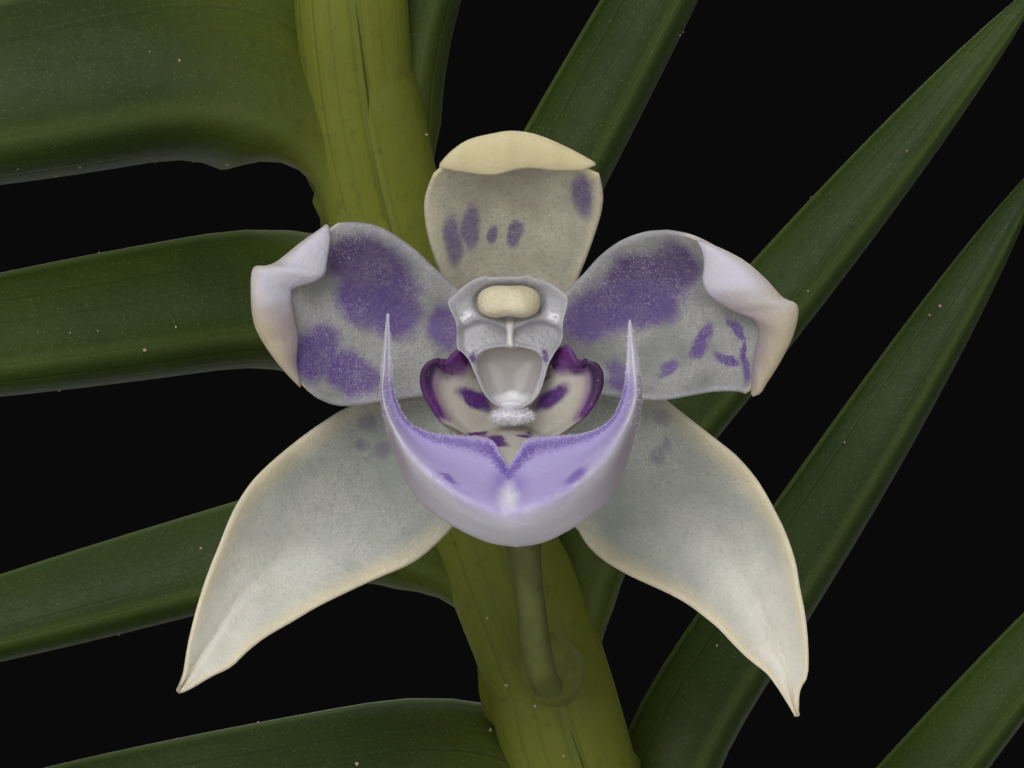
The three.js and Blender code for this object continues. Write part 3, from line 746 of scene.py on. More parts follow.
@dataclass(frozen=True)
class FlowerTissue:
    """Translucent flower tissue: cloudy grey, with fine papillae whose sparkle is painted as white
    highlights, and violet marks.
    """

    name: str
    marks: tuple[tuple[float, ...], ...] = ()
    faint: tuple[tuple[float, ...], ...] = ()
    cloudy: Colour = linear(166, 166, 152)
    green: Colour = linear(134, 141, 122)
    violet: Colour = linear(98, 74, 138)
    cream: Colour = linear(226, 212, 168)
    pale: Colour = linear(226, 212, 168)
    dusk: Colour = linear(168, 154, 155)
    base: Colour = linear(118, 122, 110)
    shade: Colour = linear(70, 50, 90)
    fibre: Colour = linear(104, 102, 96)
    glint: Colour = linear(246, 246, 250)
    margin: Colour = linear(226, 214, 178)
    margin_share: float = 0.3
    wander: float = 1.0
    strength: float = 0.95
    tissue: Tissue = Tissue(0.35, (1.0, 0.95, 0.85), 0.8)

    def paint(self) -> Material:
        """Makes the material. The mesh holds where each point is in the bloom, and its margin and fold.

        Returns:
            The material.
        """
        p = Paint(self.name, self.green)
        x, _, z = p.parts(p.attribute("bloom"))
        edge, fold, tip = p.parts(p.attribute("tissue"))
        blur, cloud, fleck = p.noise(1.3, 3, 0.6), p.noise(0.55, 4, 0.6), p.noise(9.0, 2, 0.6)
        p.lay(cloud.step(0.3, 0.72), self.cloudy)
        p.lay(fleck.step(0.52, 0.72) * 0.4, self.fibre)
        stray = (p.noise(0.9, 3, 0.5) - 0.5) * self.wander
        place = p.joined(x + (blur - 0.5) * self.wander, 0.0, z + stray)
        if self.marks:
            grains = (0.6 + fleck * 0.6 + (blur - 0.5) * 0.5) * self.strength
            violet = p.mix(z.step(2.6, 4.8) * 0.8, self.violet, self.shade)
            p.lay((p.marks(place, self.marks, 0.34) * grains).least(0.97), violet)
        if self.faint:
            p.lay(p.marks(place, self.faint, 0.5) * 0.6, self.violet)
            # Painted shade: the lateral sepals darken towards the base, standing in for the dark background
            # seen through the thin tissue.
            p.lay(tip.step(0.5, 0.0) * 0.5, self.base)
        p.lay((1 - fold) * tip * (0.5 + cloud * 0.5), self.pale)
        p.lay(edge * self.margin_share * (0.6 + cloud * 0.8), self.margin)
        low = p.mix((tip + (cloud - 0.5) * 0.6).step(0.1, 0.9), self.cream, self.dusk)
        high = p.mix((tip + (cloud - 0.5) * 0.4).step(0.32, 0.0) * 0.6, self.pale, self.cream)
        p.lay(fold, p.mix((z + (cloud - 0.5) * 1.4).step(2.4, 3.9), low, high))
        # Painted highlights: fine white specks that stand in for light glinting off the papillae.
        painted_sparkle = p.specks(19.0, 0.42, 0.5) * (1 - fold * 0.8) * cloud.step(0.38, 0.62)
        p.lay(painted_sparkle * 0.5, self.glint)
        rough = 0.46 - painted_sparkle * 0.22 + fold * 0.06
        return p.close(rough, fleck * 0.9 + blur * 0.6, 0.035, **self.tissue.sockets())


@dataclass(frozen=True)
class LipTissue:
    """The lip: lavender above its crease, milky below, and dark violet on the ears' margins."""

    lavender: Colour = linear(176, 162, 212)
    deep: Colour = linear(104, 74, 160)
    milk: Colour = linear(216, 212, 222)
    blush: Colour = linear(152, 134, 154)
    wine: Colour = linear(50, 20, 62)
    plum: Colour = linear(100, 42, 116)
    bowl: Colour = linear(192, 184, 172)
    white: Colour = linear(236, 233, 240)
    horn: Colour = linear(222, 216, 232)
    glint: Colour = linear(244, 240, 248)
    rose: Colour = linear(124, 70, 140)
    blot: Colour = linear(84, 40, 114)
    tissue: Tissue = Tissue(0.35, (1.0, 0.9, 1.0), 0.6)

    def paint(self) -> Material:
        """Makes the material. The mesh holds the place in the bloom, and how far round the lip it is.

        Returns:
            The material.
        """
        p = Paint("lip", self.milk)
        x, _, z = p.parts(p.attribute("bloom"))
        band, ear, horn = p.parts(p.attribute("lip"))
        blur, grain = p.noise(1.6, 4, 0.6), p.noise(9.0, 3, 0.6)
        at = p.joined(x + (blur - 0.5) * 0.4, 0.0, z + (blur - 0.5) * 0.4)
        off = (x + 0.1).size()
        soft = band + (blur - 0.5) * 0.4
        p.lay((soft + off.step(1.2, 3.2) * 0.25).step(1.5, 0.85), self.lavender)
        line = (band + (grain - 0.5) * 0.2 - 0.2).size().step(0.15, 0.02)
        p.lay(line * (0.7 + off.step(1.1, 0.5) * 0.25), self.deep)
        streak = soft.step(0.8, 0.96) * soft.step(1.12, 1.0) * off.step(0.7, 1.6) * 0.25
        p.lay(streak, self.deep)
        p.lay(off.step(1.4, 3.6) * soft.step(1.1, 1.6) * 0.7, self.blush)
        cleft = p.spot(at, (-0.1, -2.5, 0.5, 0.5, 0), 0.6) * soft.step(1.1, 0.7)
        p.lay(cleft * 0.45, self.deep)
        # Painted highlight: a soft white spot at the centre of the crease, where light catches the lip.
        heart = p.spot(at, (-0.12, -3.0, 0.27, 0.34, 0), 0.9) * (0.5 + grain * 0.8)
        p.lay(heart.least(0.9), self.white)
        dots = p.marks(at, ((-1.95, -2.35, 0.36, 0.07, -35), (2.0, -2.3, 0.4, 0.13, 38)), 0.5)
        p.lay(dots * 0.75, self.deep)
        p.lay(horn.step(0.2, 0.55) * 0.85, self.horn)
        inner = p.marks(at, ((-1.15, 0.02, 0.62, 0.26, -32), (1.2, 0.05, 0.62, 0.26, 34)), 0.35)
        blots = p.marks(at, (
            (-0.5, -1.28, 0.42, 0.18, -10), (0.38, -1.1, 0.24, 0.07, 0), (-1.1, -1.06, 0.32, 0.06, 0),
        ), 0.4)
        lobe = p.marks(at, ((-2.6, 0.95, 0.5, 0.6, 0), (2.6, 0.85, 0.55, 0.9, 0)), 0.6)
        shoulder = p.marks(at, (
            (-1.8, 1.1, 0.55, 0.4, 15), (1.55, 1.2, 0.4, 0.42, 0), (2.0, 1.05, 0.4, 0.28, 0),
        ), 0.5)
        saddle = ear.step(-0.5, -0.2)
        flap = p.mix(ear.step(0.15, 0.6) * 0.55, self.bowl, self.rose)
        flap = p.mix(inner.most(blots) * saddle * (0.8 + grain * 0.4), flap, self.blot)
        flap = p.mix(shoulder * saddle * 0.9, flap, self.plum)
        flap = p.mix(ear.step(0.55, 0.85), flap, p.mix(lobe * (0.5 + grain), self.plum, self.wine))
        p.lay(ear.step(-0.75, -0.7), flap)
        # Painted glints: fine white specks for light sparkling off the lip's surface.
        p.lay(p.specks(10.0, 0.33, 0.12) * 0.25, self.glint)
        relief = grain * 0.6 + blur * 0.6
        return p.close(0.4 + grain * 0.14, relief, 0.04, **self.tissue.sockets())


@dataclass(frozen=True)
class ColumnTissue:
    """The column: clear whitish tissue, frosted beside the cap, with two panes over a beige hollow."""

    clear: Colour = linear(160, 157, 160)
    milk: Colour = linear(194, 191, 196)
    hollow: Colour = linear(158, 151, 144)
    cream: Colour = linear(226, 222, 212)
    white: Colour = linear(250, 250, 252)
    violet: Colour = linear(84, 40, 112)
    tissue: Tissue = Tissue(0.35, (1.0, 0.97, 0.95), 0.8)

    def paint(self) -> Material:
        """Makes the material. The mesh holds the place in the bloom, and the hollow, panes and strut.

        Returns:
            The material.
        """
        p = Paint("column", self.clear)
        x, _, z = p.parts(p.attribute("bloom"))
        well, pane, strut = p.parts(p.attribute("column"))
        blur, fine = p.noise(1.3, 3, 0.6), p.noise(7.0, 2, 0.6)
        at = p.joined(x + (fine - 0.5) * 0.2, 0.0, z + (blur - 0.5) * 0.2)
        p.lay(blur.step(0.3, 0.7) * 0.5 + fine * 0.4, self.milk)
        p.lay(pane * 0.8, self.clear)
        frost = p.marks(at, ((-1.4, 2.62, 0.22, 0.17, 40), (1.3, 2.66, 0.2, 0.17, -40)), 0.7)
        frost = frost * p.noise(8.0, 2, 0.7).step(0.36, 0.58)
        p.lay(frost * 0.8, self.white)
        # Painted highlight: a white reflection at the bottom of the hollow, with lower roughness.
        cavity_highlight = p.spot(at, (0.02, -0.08, 0.62, 0.28, 0), 0.6) * well
        p.lay(well * 0.95, p.mix(z.step(1.5, 0.1) * 0.5, self.hollow, self.milk))
        p.lay(cavity_highlight * 0.9, self.white)
        p.lay(strut * 0.8, self.cream)
        flecks = p.marks(at, ((-1.2, 1.36, 0.12, 0.2, 0), (1.05, 1.36, 0.1, 0.26, 10)), 0.5)
        p.lay(flecks * fine.step(0.3, 0.55) * 0.85, self.violet)
        rough = 0.34 - well * 0.16 + frost * 0.2
        return p.close(rough, fine * (1 - well) * 0.7, 0.05, **self.tissue.sockets())


@dataclass(frozen=True)
class PlainTissue:
    """Flower tissue of one colour with a fine grain."""

    name: str
    colour: Colour
    shade: Colour
    rough: float
    grain: float
    frost: float = 0.0
    glint: Colour = linear(246, 244, 240)
    tissue: Tissue = Tissue(0.2, (1.0, 0.95, 0.9), 0.5)

    def paint(self) -> Material:
        """Makes the material.

        Returns:
            The material.
        """
        p = Paint(self.name, self.shade)
        cloud, fine = p.noise(1.1, 4, 0.6), p.noise(self.grain, 3, 0.6)
        p.lay(cloud.step(0.3, 0.7) * 0.6 + fine * 0.4, self.colour)
        if self.frost:
            p.lay(p.specks(10.0, 0.35, 0.3) * self.frost, self.glint)
        return p.close(self.rough + fine * 0.12, fine, 0.05, **self.tissue.sockets())


@dataclass(frozen=True)
class Strand:
    """The finish of fine hairs, moss or grains."""

    name: str
    root: Colour
    tip: Colour
    rough: float

    def paint(self) -> Material:
        """Makes the material, with a soft change of colour from place to place.

        Returns:
            The material.
        """
        p = Paint(self.name, self.root)
        p.lay(p.noise(0.9, 2).step(0.35, 0.65), self.tip)
        return p.close(self.rough)


class Finishes:
    """Every finish of the plant, painted once."""

    def __init__(self) -> None:
        """Paints them all."""
        self.clay = Clay().paint()
        self.bark = Bark().paint()
        self.leaf = Leaf().paint()
        self.dorsal = FlowerTissue(
            "dorsal_sepal", (
                (-1.9, 5.1, 0.3, 0.85, 6), (-1.35, 5.5, 0.32, 0.7, 0), (-0.6, 5.3, 0.14, 0.24, 0),
                (0.1, 5.3, 0.24, 0.42, -8), (2.25, 6.55, 0.36, 0.75, 6),
            ), cloudy=linear(192, 186, 166), green=linear(164, 160, 142), wander=0.4, strength=0.85,
            shade=linear(98, 76, 118), pale=linear(213, 199, 156), cream=linear(213, 199, 156),
        ).paint()
        self.lateral = FlowerTissue(
            "lateral_sepal", faint=(
                (-4.64, -0.74, 0.3, 0.26, 0), (-4.2, -1.6, 0.3, 0.26, 0), (-4.86, -1.5, 0.2, 0.2, 0),
                (4.86, -0.54, 0.26, 0.24, 0), (4.67, -1.76, 0.24, 0.3, 0), (4.95, -1.4, 0.16, 0.26, 0),
            ), cloudy=linear(195, 195, 188), green=linear(162, 167, 161), margin=linear(236, 216, 168),
            pale=linear(236, 230, 214), margin_share=0.55, wander=0.6,
        ).paint()
        self.petal = FlowerTissue(
            "petal", (
                (-4.75, 4.4, 1.25, 0.9, 0), (-5.25, 4.5, 0.6, 0.8, -15), (-4.1, 3.7, 1.05, 1.2, 15),
                (-3.75, 2.75, 0.85, 0.85, 0), (-4.6, 3.4, 0.95, 1.1, 25), (-6.2, 1.5, 0.72, 0.95, -20),
                (-5.2, 0.85, 1.05, 0.58, -28), (-2.1, 2.35, 0.58, 0.75, 0),
                (4.3, 3.75, 1.7, 1.0, 14), (3.3, 3.1, 1.3, 0.9, 30),
                (5.15, 4.15, 0.95, 0.85, 0), (2.4, 2.65, 1.0, 0.75, 28), (4.5, 2.95, 0.9, 0.65, 20),
                (6.15, 1.95, 0.22, 0.52, -22), (5.95, 1.5, 0.4, 0.18, 30), (6.85, 1.28, 0.42, 0.16, -22),
                (7.15, 2.25, 0.16, 0.42, 35), (7.4, 1.2, 0.13, 0.8, 3), (5.0, 1.02, 0.36, 0.26, 20),
                (3.4, 0.8, 0.42, 0.5, 0),
            ), cloudy=linear(170, 168, 166), green=linear(134, 136, 130), margin=linear(160, 158, 172),
            margin_share=0.4, pale=linear(206, 202, 215), cream=linear(182, 169, 143),
            violet=linear(96, 68, 138), wander=0.7,
        ).paint()
        self.lip = LipTissue().paint()
        self.column = ColumnTissue().paint()
        plain = (
            ("stigma", (242, 242, 246), (214, 212, 220), 0.1, 3.0),
            ("anther", (240, 231, 202), (200, 186, 150), 0.55, 12.0, 0.5),
            ("pedicel", (120, 124, 62), (84, 90, 42), 0.5, 2.0),
            ("bract", (132, 136, 62), (100, 104, 44), 0.6, 2.0),
            ("bud", (196, 196, 166), (158, 156, 158), 0.42, 3.0),
            ("root", (186, 188, 166), (128, 136, 104), 0.6, 1.2),
        )
        self.stigma, self.anther, self.pedicel, self.bract, self.bud, self.root = (
            PlainTissue(name, linear(*colour), linear(*shade), *numbers).paint()
            for name, colour, shade, *numbers in plain
        )
        strands = (
            ("white_hair", (226, 222, 230), (250, 248, 252), 0.4),
            ("dark_hair", (58, 26, 78), (120, 92, 140), 0.5),
            ("moss", (52, 66, 20), (112, 128, 44), 0.7),
            ("dust", (58, 44, 30), (206, 190, 158), 0.8),
        )
        self.white_hair, self.dark_hair, self.moss, self.dust = (
            Strand(name, linear(*root), linear(*tip), rough).paint() for name, root, tip, rough in strands
        )


# Geometry trees


class Grower(Tree):
    """A geometry tree with named sizes that turns a host mesh into a piece."""

    def __init__(self, name: str, sizes: dict[str, float | int]) -> None:
        """Makes the tree with its inputs.

        Args:
            name: The tree's name.
            sizes: Its named inputs with their values.
        """
        super().__init__(bpy.data.node_groups.new(name, "GeometryNodeTree"))
        self.tree.interface.new_socket("Geometry", in_out="INPUT", socket_type="NodeSocketGeometry")
        self.tree.interface.new_socket("Geometry", in_out="OUTPUT", socket_type="NodeSocketGeometry")
        self.sizes = sizes
        self.keys: dict[str, str] = {}
        for label, value in sizes.items():
            kind = "NodeSocketInt" if isinstance(value, int) else "NodeSocketFloat"
            item = self.tree.interface.new_socket(label, in_out="INPUT", socket_type=kind)
            self.keys[label] = item.identifier
        self.given = self.node("NodeGroupInput")
        self.host = self.given.outputs["Geometry"]

    def size(self, label: str) -> Flow:
        """A named input."""
        return Flow(self, self.given.outputs[label])

    def chance(self, low: Any, high: Any, seed: int) -> Flow:
        """A number of its own for each item."""
        made = self.node("FunctionNodeRandomValue", {2: low, 3: high, 8: seed}, data_type="FLOAT")
        return Flow(self, made.outputs[1])

    def turned(self, x: Any, y: Any, z: Any) -> NodeSocket:
        """A rotation by three angles."""
        return self.node("FunctionNodeEulerToRotation", {0: self.joined(x, y, z)}).outputs[0]

    def finish(self, geometry: Any, material: Material) -> None:
        """Ends the tree: real geometry with its material.

        Args:
            geometry: What the tree has made.
            material: Its material.
        """
        real = self.node("GeometryNodeRealizeInstances", {0: geometry})
        shaded = self.node("GeometryNodeSetMaterial", {0: real.outputs[0], "Material": material})
        self.node("NodeGroupOutput", {0: shaded.outputs[0]})

    def grow(self, host: Object) -> Object:
        """Runs the tree on a host object, whose mesh becomes the result.

        Args:
            host: The object that the tree starts from.

        Returns:
            The same object with a plain mesh and no modifier.
        """
        modifier = host.modifiers.new("grow", "NODES")
        modifier.node_group = self.tree
        for label, value in self.sizes.items():
            modifier[self.keys[label]] = value
        settle(host, modifier)
        return host


@dataclass
class Hairs:
    """Fine tapered hairs, moss strands or grains that stand on a surface, so many to a square millimetre."""

    name: str
    count: float
    length: float
    radius: float
    material: Material
    seed: int
    lean: float = 0.5
    sides: int = 3

    def grow(self, host: Object) -> Object:
        """Covers a host surface, which is used up.

        Args:
            host: The surface, with a point attribute "thick" that says where the hairs are.

        Returns:
            The hairs as one piece.
        """
        g = Grower(self.name, {
            "Hairs per square metre": self.count / MM**2, "Length": self.length * MM,
            "Radius": self.radius * MM, "Lean": self.lean, "Seed": self.seed,
        })
        where = g.node("GeometryNodeInputNamedAttribute", {0: "thick"}, data_type="FLOAT")
        spread = g.node("GeometryNodeDistributePointsOnFaces", {
            "Mesh": g.host, "Seed": g.size("Seed"),
            "Density": g.size("Hairs per square metre") * Flow(g, where.outputs[0]),
        }, distribute_method="RANDOM")
        cone = g.node("GeometryNodeMeshCone", {
            "Vertices": self.sides, "Side Segments": 1, "Radius Top": g.size("Radius") * 0.25,
            "Radius Bottom": g.size("Radius"), "Depth": g.size("Length"),
        }, fill_type="NONE")
        lean = [g.chance(-1.0, 1.0, seed) * g.size("Lean") for seed in (3, 4)]
        turned = g.node("FunctionNodeRotateRotation", {
            0: spread.outputs["Rotation"], 1: g.turned(*lean, 0.0),
        }, rotation_space="LOCAL")
        placed = g.node("GeometryNodeInstanceOnPoints", {
            "Points": spread.outputs["Points"], "Instance": cone.outputs["Mesh"],
            "Rotation": turned.outputs[0], "Scale": g.chance(0.5, 1.25, 5),
        })
        g.finish(placed.outputs[0], self.material)
        host.name = self.name
        return g.grow(host)


def patch_of(piece: Object, name: str, weight: Callable[..., Any]) -> Object:
    """A copy of a piece as a host for hairs.

    Args:
        piece: The piece whose surface is copied.
        name: The host's name.
        weight: From the points in millimetres and their "lip" values, how thickly the hairs stand.

    Returns:
        The host object.
    """
    mesh = piece.data.copy()
    points = np.empty(len(mesh.vertices) * 3, np.float32)
    mesh.vertices.foreach_get("co", points)
    lip = np.zeros_like(points)
    if "lip" in mesh.attributes:
        mesh.attributes["lip"].data.foreach_get("vector", lip)
    thick = np.asarray(weight(points.reshape(-1, 3) / MM, lip.reshape(-1, 3)), np.float32)
    mesh.attributes.new("thick", "FLOAT", "POINT").data.foreach_set("value", thick)
    return put(name, mesh)


def everywhere(points: Rows, _: Rows) -> Rows:
    """Hairs all over a surface."""
    return np.ones(len(points))


# The pot and what fills it


@dataclass
class Pot:
    """A thrown clay pot with a rolled rim band and drain holes."""

    height: float = 70.0
    rim: float = 43.0
    rim_height: float = 15.0
    rim_step: float = 2.6
    foot: float = 29.0
    wall: float = 4.0
    floor: float = 5.0
    drain: float = 3.0
    drain_reach: float = 14.0
    drains: int = 4
    sides: int = 144

    def inner(self, z: float) -> float:
        """The inner radius at a height."""
        share = (z - self.floor) / (self.height - self.floor)
        return (self.foot - self.wall) * (1 - share) + (self.rim - self.rim_step - self.wall) * share

    def profile(self) -> Rows:
        """The outline from the middle of the foot, round the rim, to the middle of the floor.

        Returns:
            One point for each step of the outline, at Y = 0.
        """
        under, top, neck = self.height - self.rim_height, self.height, self.rim - self.rim_step - 0.8
        corners = [
            (0.0, 0.0, 0.0), (self.foot - 0.6, 0.0, 1.0), (self.foot + 0.2, 1.0, 0.6), (neck, under, 0.5),
            (self.rim - 0.9, under, 0.5), (self.rim - 0.3, under + 1.4, 0.7), (self.rim, top, 1.7),
            (self.inner(top) + 0.2, top, 1.5), (self.inner(self.floor), self.floor, 2.5),
            (0.0, self.floor, 0.0),
        ]
        line = []
        for i, (r, z, soft) in enumerate(corners):
            here = np.array([r, z])
            if not soft:
                line.append(here)
                continue
            before, after = (np.array(corners[k][:2]) for k in (i - 1, i + 1))
            start = here + (before - here) * min(0.45, soft / np.linalg.norm(before - here))
            end = here + (after - here) * min(0.45, soft / np.linalg.norm(after - here))
            for t in np.linspace(0, 1, 7):
                line.append((1 - t) ** 2 * start + 2 * t * (1 - t) * here + t * t * end)
        fine = [line[0]]
        for point in line[1:]:
            steps = max(1, int(np.linalg.norm(point - fine[-1]) / 1.5))
            fine += [fine[-1] + (point - fine[-1]) * k / steps for k in range(1, steps + 1)]
        rows = np.array(fine)
        return triple(rows[:, 0], 0.0, rows[:, 1])

    def build(self, finish: Material) -> None:
        """Turns the profile round the axis and drills the drain holes.

        Args:
            finish: The clay.
        """
        profile = self.profile()
        mesh = bpy.data.meshes.new("pot_clay")
        mesh.from_pydata((profile * MM).tolist(), [(i, i + 1) for i in range(len(profile) - 1)], [])
        pot = put("pot_clay", mesh)
        g = Grower("lathe", {"Sides": self.sides, "Rings": len(profile)})
        sides, rings = g.size("Sides"), g.size("Rings")
        grid = g.node("GeometryNodeMeshGrid", {"Vertices X": sides + 1, "Vertices Y": rings})
        index = Flow(g, g.node("GeometryNodeInputIndex").outputs[0])
        turn = g.sum("FLOOR", index / rings + 1e-4) / sides * TURN
        sampled = g.node("GeometryNodeSampleIndex", {
            "Geometry": g.host, "Value": g.node("GeometryNodeInputPosition").outputs[0],
            "Index": g.sum("FLOORED_MODULO", index, rings),
        }, data_type="FLOAT_VECTOR", domain="POINT")
        radius, _, z = g.parts(sampled.outputs[0])
        place = g.joined(radius * g.sum("COSINE", turn), radius * turn.wave(), z)
        moved = g.node("GeometryNodeSetPosition", {"Geometry": grid.outputs[0], "Position": place})
        merged = g.node("GeometryNodeMergeByDistance", {0: moved.outputs[0], "Distance": 1e-6})
        g.finish(g.node("GeometryNodeSetShadeSmooth", {0: merged.outputs[0]}).outputs[0], finish)
        g.grow(pot)
        turn_out(pot.data, 1e-6)
        self.drill(pot)
        dress(pot, "clay", "pot")

    def drill(self, pot: Object) -> None:
        """Cuts the drain holes through the floor.

        Args:
            pot: The turned pot.
        """
        skin = Skin()
        for turn in circle(self.drains) + math.pi / self.drains:
            middle = heading(turn) * self.drain_reach
            skin.tube(rods(middle + [[0, 0, -5], [0, 0, 5], [0, 0, 12]], self.drain, 28))
        drill = skin.build("drill")
        cut = pot.modifiers.new("drains", "BOOLEAN")
        cut.operation, cut.solver, cut.object = "DIFFERENCE", "EXACT", drill
        settle(pot, cut)
        pot.data.set_sharp_from_angle(angle=math.radians(50))
        drop(drill)


@dataclass
class BarkMix:
    """Bark chips heaped in the pot, with moss and roots on them."""

    pot: Pot
    finishes: Finishes
    top: float = 60.0
    gap: float = 0.5
    reach: float = 31.0
    heart_top: float = 57.0
    kinds: int = 6
    chip_length: float = 10.0
    chip_half_width: float = 3.4
    chip_half_thick: float = 1.7
    tufts: int = 15
    roots_each: int = 3
    root_reach: float = 11.0

    def heap(self, x: Rows, y: Rows) -> Rows:
        """The height of the heap at a place."""
        out = np.hypot(x, y)
        return self.top - 1.2 - 2.6 * (out / self.reach) ** 2 + 0.7 * np.sin(x * 0.35) * np.cos(y * 0.3 + 1)

    def heart(self) -> None:
        """Makes the dark body of the fill, from the floor to under the chips."""
        turn = circle(48)
        low = self.pot.floor + self.gap
        rows = []
        for z, share in ((low, 0.02), (low, 1.0), (30.0, 1.0), (54.0, 1.0), (self.heart_top, 0.94)):
            radius = (self.pot.inner(z) - self.gap) * share
            rows.append(triple(radius * np.cos(turn), radius * np.sin(turn), z))
        for share in (0.8, 0.6, 0.4, 0.2, 0.02):
            x, y = (self.pot.inner(self.heart_top) * share * f(turn) for f in (np.cos, np.sin))
            rows.append(triple(x, y, self.heap(x, y) - 1.0))
        rings = np.array(rows)
        made = body("bark_heart", rings, self.finishes.bark, tone=np.full(rings.shape, 0.1))
        dress(made, "bark", "bark_mix")

    def chip(self, number: int) -> Object:
        """One rough chip of bark with a split, layered edge.

        Args:
            number: Its number, for its draws.

        Returns:
            The chip.
        """
        rows, columns = 7, 12
        turn = circle(columns)
        rings = []
        for i in range(rows):
            s = i / (rows - 1)
            wide = (0.72 + 0.28 * math.sin(math.pi * s)) * (0.86 + 0.28 * draw(i + number * 9, 31))
            thick = (0.65 + 0.5 * draw(number, 32)) * (0.8 + 0.3 * draw(i + number * 7, 33))
            knock = np.array([0.84 + 0.26 * draw(k + 13 * i + 101 * number, 34) for k in range(columns)])
            y = np.sign(np.cos(turn)) * np.abs(np.cos(turn)) ** 0.45 * self.chip_half_width * wide * knock
            z = np.sign(np.sin(turn)) * np.abs(np.sin(turn)) ** 0.55 * self.chip_half_thick * thick
            z = z * (0.8 + 0.2 * knock) + 0.5 * math.sin(3 * s + number) + 0.06 * y * math.sin(number * 2.1)
            x = (s - 0.5) * self.chip_length + 0.9 * (knock - 0.95) * (1 if i in (0, rows - 1) else 0.3) * 4
            rings.append(triple(x, y, z))
        made = body(f"chip_{number}", np.array(rings))
        made.data.set_sharp_from_angle(angle=math.radians(34))
        return made

    def chips(self, name: str, spacing: float, sizes: tuple[float, float], lift: float, seed: int) -> None:
        """Scatters chips over the heap.

        Args:
            name: The piece's name.
            spacing: The distance between chips.
            sizes: The smallest and largest scale.
            lift: How high they lie above the heap.
            seed: The scatter's seed.
        """
        kinds = [self.chip(k + seed) for k in range(self.kinds)]
        group = bpy.data.collections.new(name + "_kinds")
        for kind in kinds:
            group.objects.link(kind)
        side = np.linspace(-1, 1, 33)
        u, v = np.meshgrid(side, side)
        scale = np.maximum(np.abs(u), np.abs(v)) / np.maximum(np.hypot(u, v), 1e-6)
        x, y = u * scale * self.reach, v * scale * self.reach
        skin = Skin()
        skin.sheet(skin.add(triple(x, y, self.heap(x, y) + lift)), len(side), len(side))
        host = skin.build(name)
        g = Grower(name, {
            "Spacing": spacing * MM, "Smallest": sizes[0], "Largest": sizes[1], "Tilt": 0.4, "Seed": seed,
        })
        spread = g.node("GeometryNodeDistributePointsOnFaces", {
            "Mesh": g.host, "Distance Min": g.size("Spacing"), "Density Max": 4e5, "Seed": g.size("Seed"),
        }, distribute_method="POISSON")
        chosen = g.node("GeometryNodeCollectionInfo", {
            0: group, "Separate Children": True, "Reset Children": True,
        }, transform_space="ORIGINAL")
        tilt = [g.chance(-1.0, 1.0, seed) * g.size("Tilt") for seed in (1, 2)]
        pick = g.node("FunctionNodeRandomValue", {4: 0, 5: self.kinds - 1, 8: 4}, data_type="INT")
        placed = g.node("GeometryNodeInstanceOnPoints", {
            "Points": spread.outputs["Points"], "Instance": chosen.outputs[0], "Pick Instance": True,
            "Instance Index": pick.outputs[2], "Rotation": g.turned(*tilt, g.chance(0.0, 6.283, 3)),
            "Scale": g.chance(g.size("Smallest"), g.size("Largest"), 5),
        })
        tone = g.node("FunctionNodeRandomValue", {8: 6}, data_type="FLOAT_VECTOR")
        toned = g.node("GeometryNodeStoreNamedAttribute", {
            "Geometry": placed.outputs[0], "Name": "tone", "Value": tone.outputs[0],
        }, data_type="FLOAT_VECTOR", domain="INSTANCE")
        g.finish(toned.outputs[0], self.finishes.bark)
        g.grow(host)
        drop(*kinds)
        bpy.data.collections.remove(group)
        dress(host, "bark", "bark_mix")

    def moss(self) -> None:
        """Makes low tufts of moss between the chips."""
        skin, ring = Skin(), circle(12)
        levels = (1.0, 0.7, 0.4, 0.1)
        for k in range(self.tufts):
            reach, turn = 8 + 22 * draw(k, 41), TURN * draw(k, 42)
            x0, y0, radius = reach * math.cos(turn), reach * math.sin(turn), 2.2 + 2.4 * draw(k, 43)
            rows = [
                triple(x0 + radius * s * np.cos(ring), y0 + radius * s * np.sin(ring),
                       self.heap(x0, y0) + 1.6 * (1 - s * s))
                for s in levels
            ]
            skin.sheet(skin.add(np.array(rows)), len(levels), len(ring), closed=True)
        bed = skin.build("moss")
        tufts = Hairs("moss_tufts", count=5.5, length=1.5, radius=0.11, material=self.finishes.moss,
                      seed=7, lean=0.6)
        made = tufts.grow(patch_of(bed, "host", everywhere))
        drop(bed)
        dress(made, "leaf", "bark_mix")

    def roots(self, feet: Sequence[Rows]) -> None:
        """Makes grey-green roots that leave the feet of the stems and run down between the chips.

        Args:
            feet: Where each stem stands.
        """
        skin, points = Skin(), 26
        for k, foot in enumerate(feet):
            for n in range(self.roots_each):
                turn = TURN * (draw(k * 5 + n, 51) + n / self.roots_each)
                away = heading(turn)
                bend = heading(turn + TURN / 4) * (draw(k * 5 + n, 52) - 0.5) * 9
                line = [np.array([foot[0], foot[1], self.top + 4.0]) + away * 0.8]
                for s in (0.25, 0.5, 0.75, 1.0):
                    spot = foot[:2] + (away * self.root_reach * s + bend * s * s)[:2]
                    spot = spot * min(1, self.reach / max(np.hypot(*spot), 1e-3))
                    line.append(np.array([*spot, float(self.heap(*spot)) + 1.9 - 6.5 * s**3]))
                radii = np.interp(np.linspace(0, 1, points), [0, 0.6, 1], [0.75, 0.6, 0.35])
                skin.tube(rods(evenly(line, points), radii, 10))
        dress(skin.build("roots", self.finishes.root), "leaf", "bark_mix")

    def build(self, feet: Sequence[Rows]) -> None:
        """Makes everything that fills the pot.

        Args:
            feet: Where each stem stands.
        """
        self.heart()
        self.chips("bark_chips", spacing=4.6, sizes=(0.62, 1.05), lift=1.0, seed=3)
        self.chips("bark_crumbs", spacing=2.4, sizes=(0.22, 0.42), lift=1.4, seed=19)
        self.moss()
        self.roots(feet)


# Leafy stems


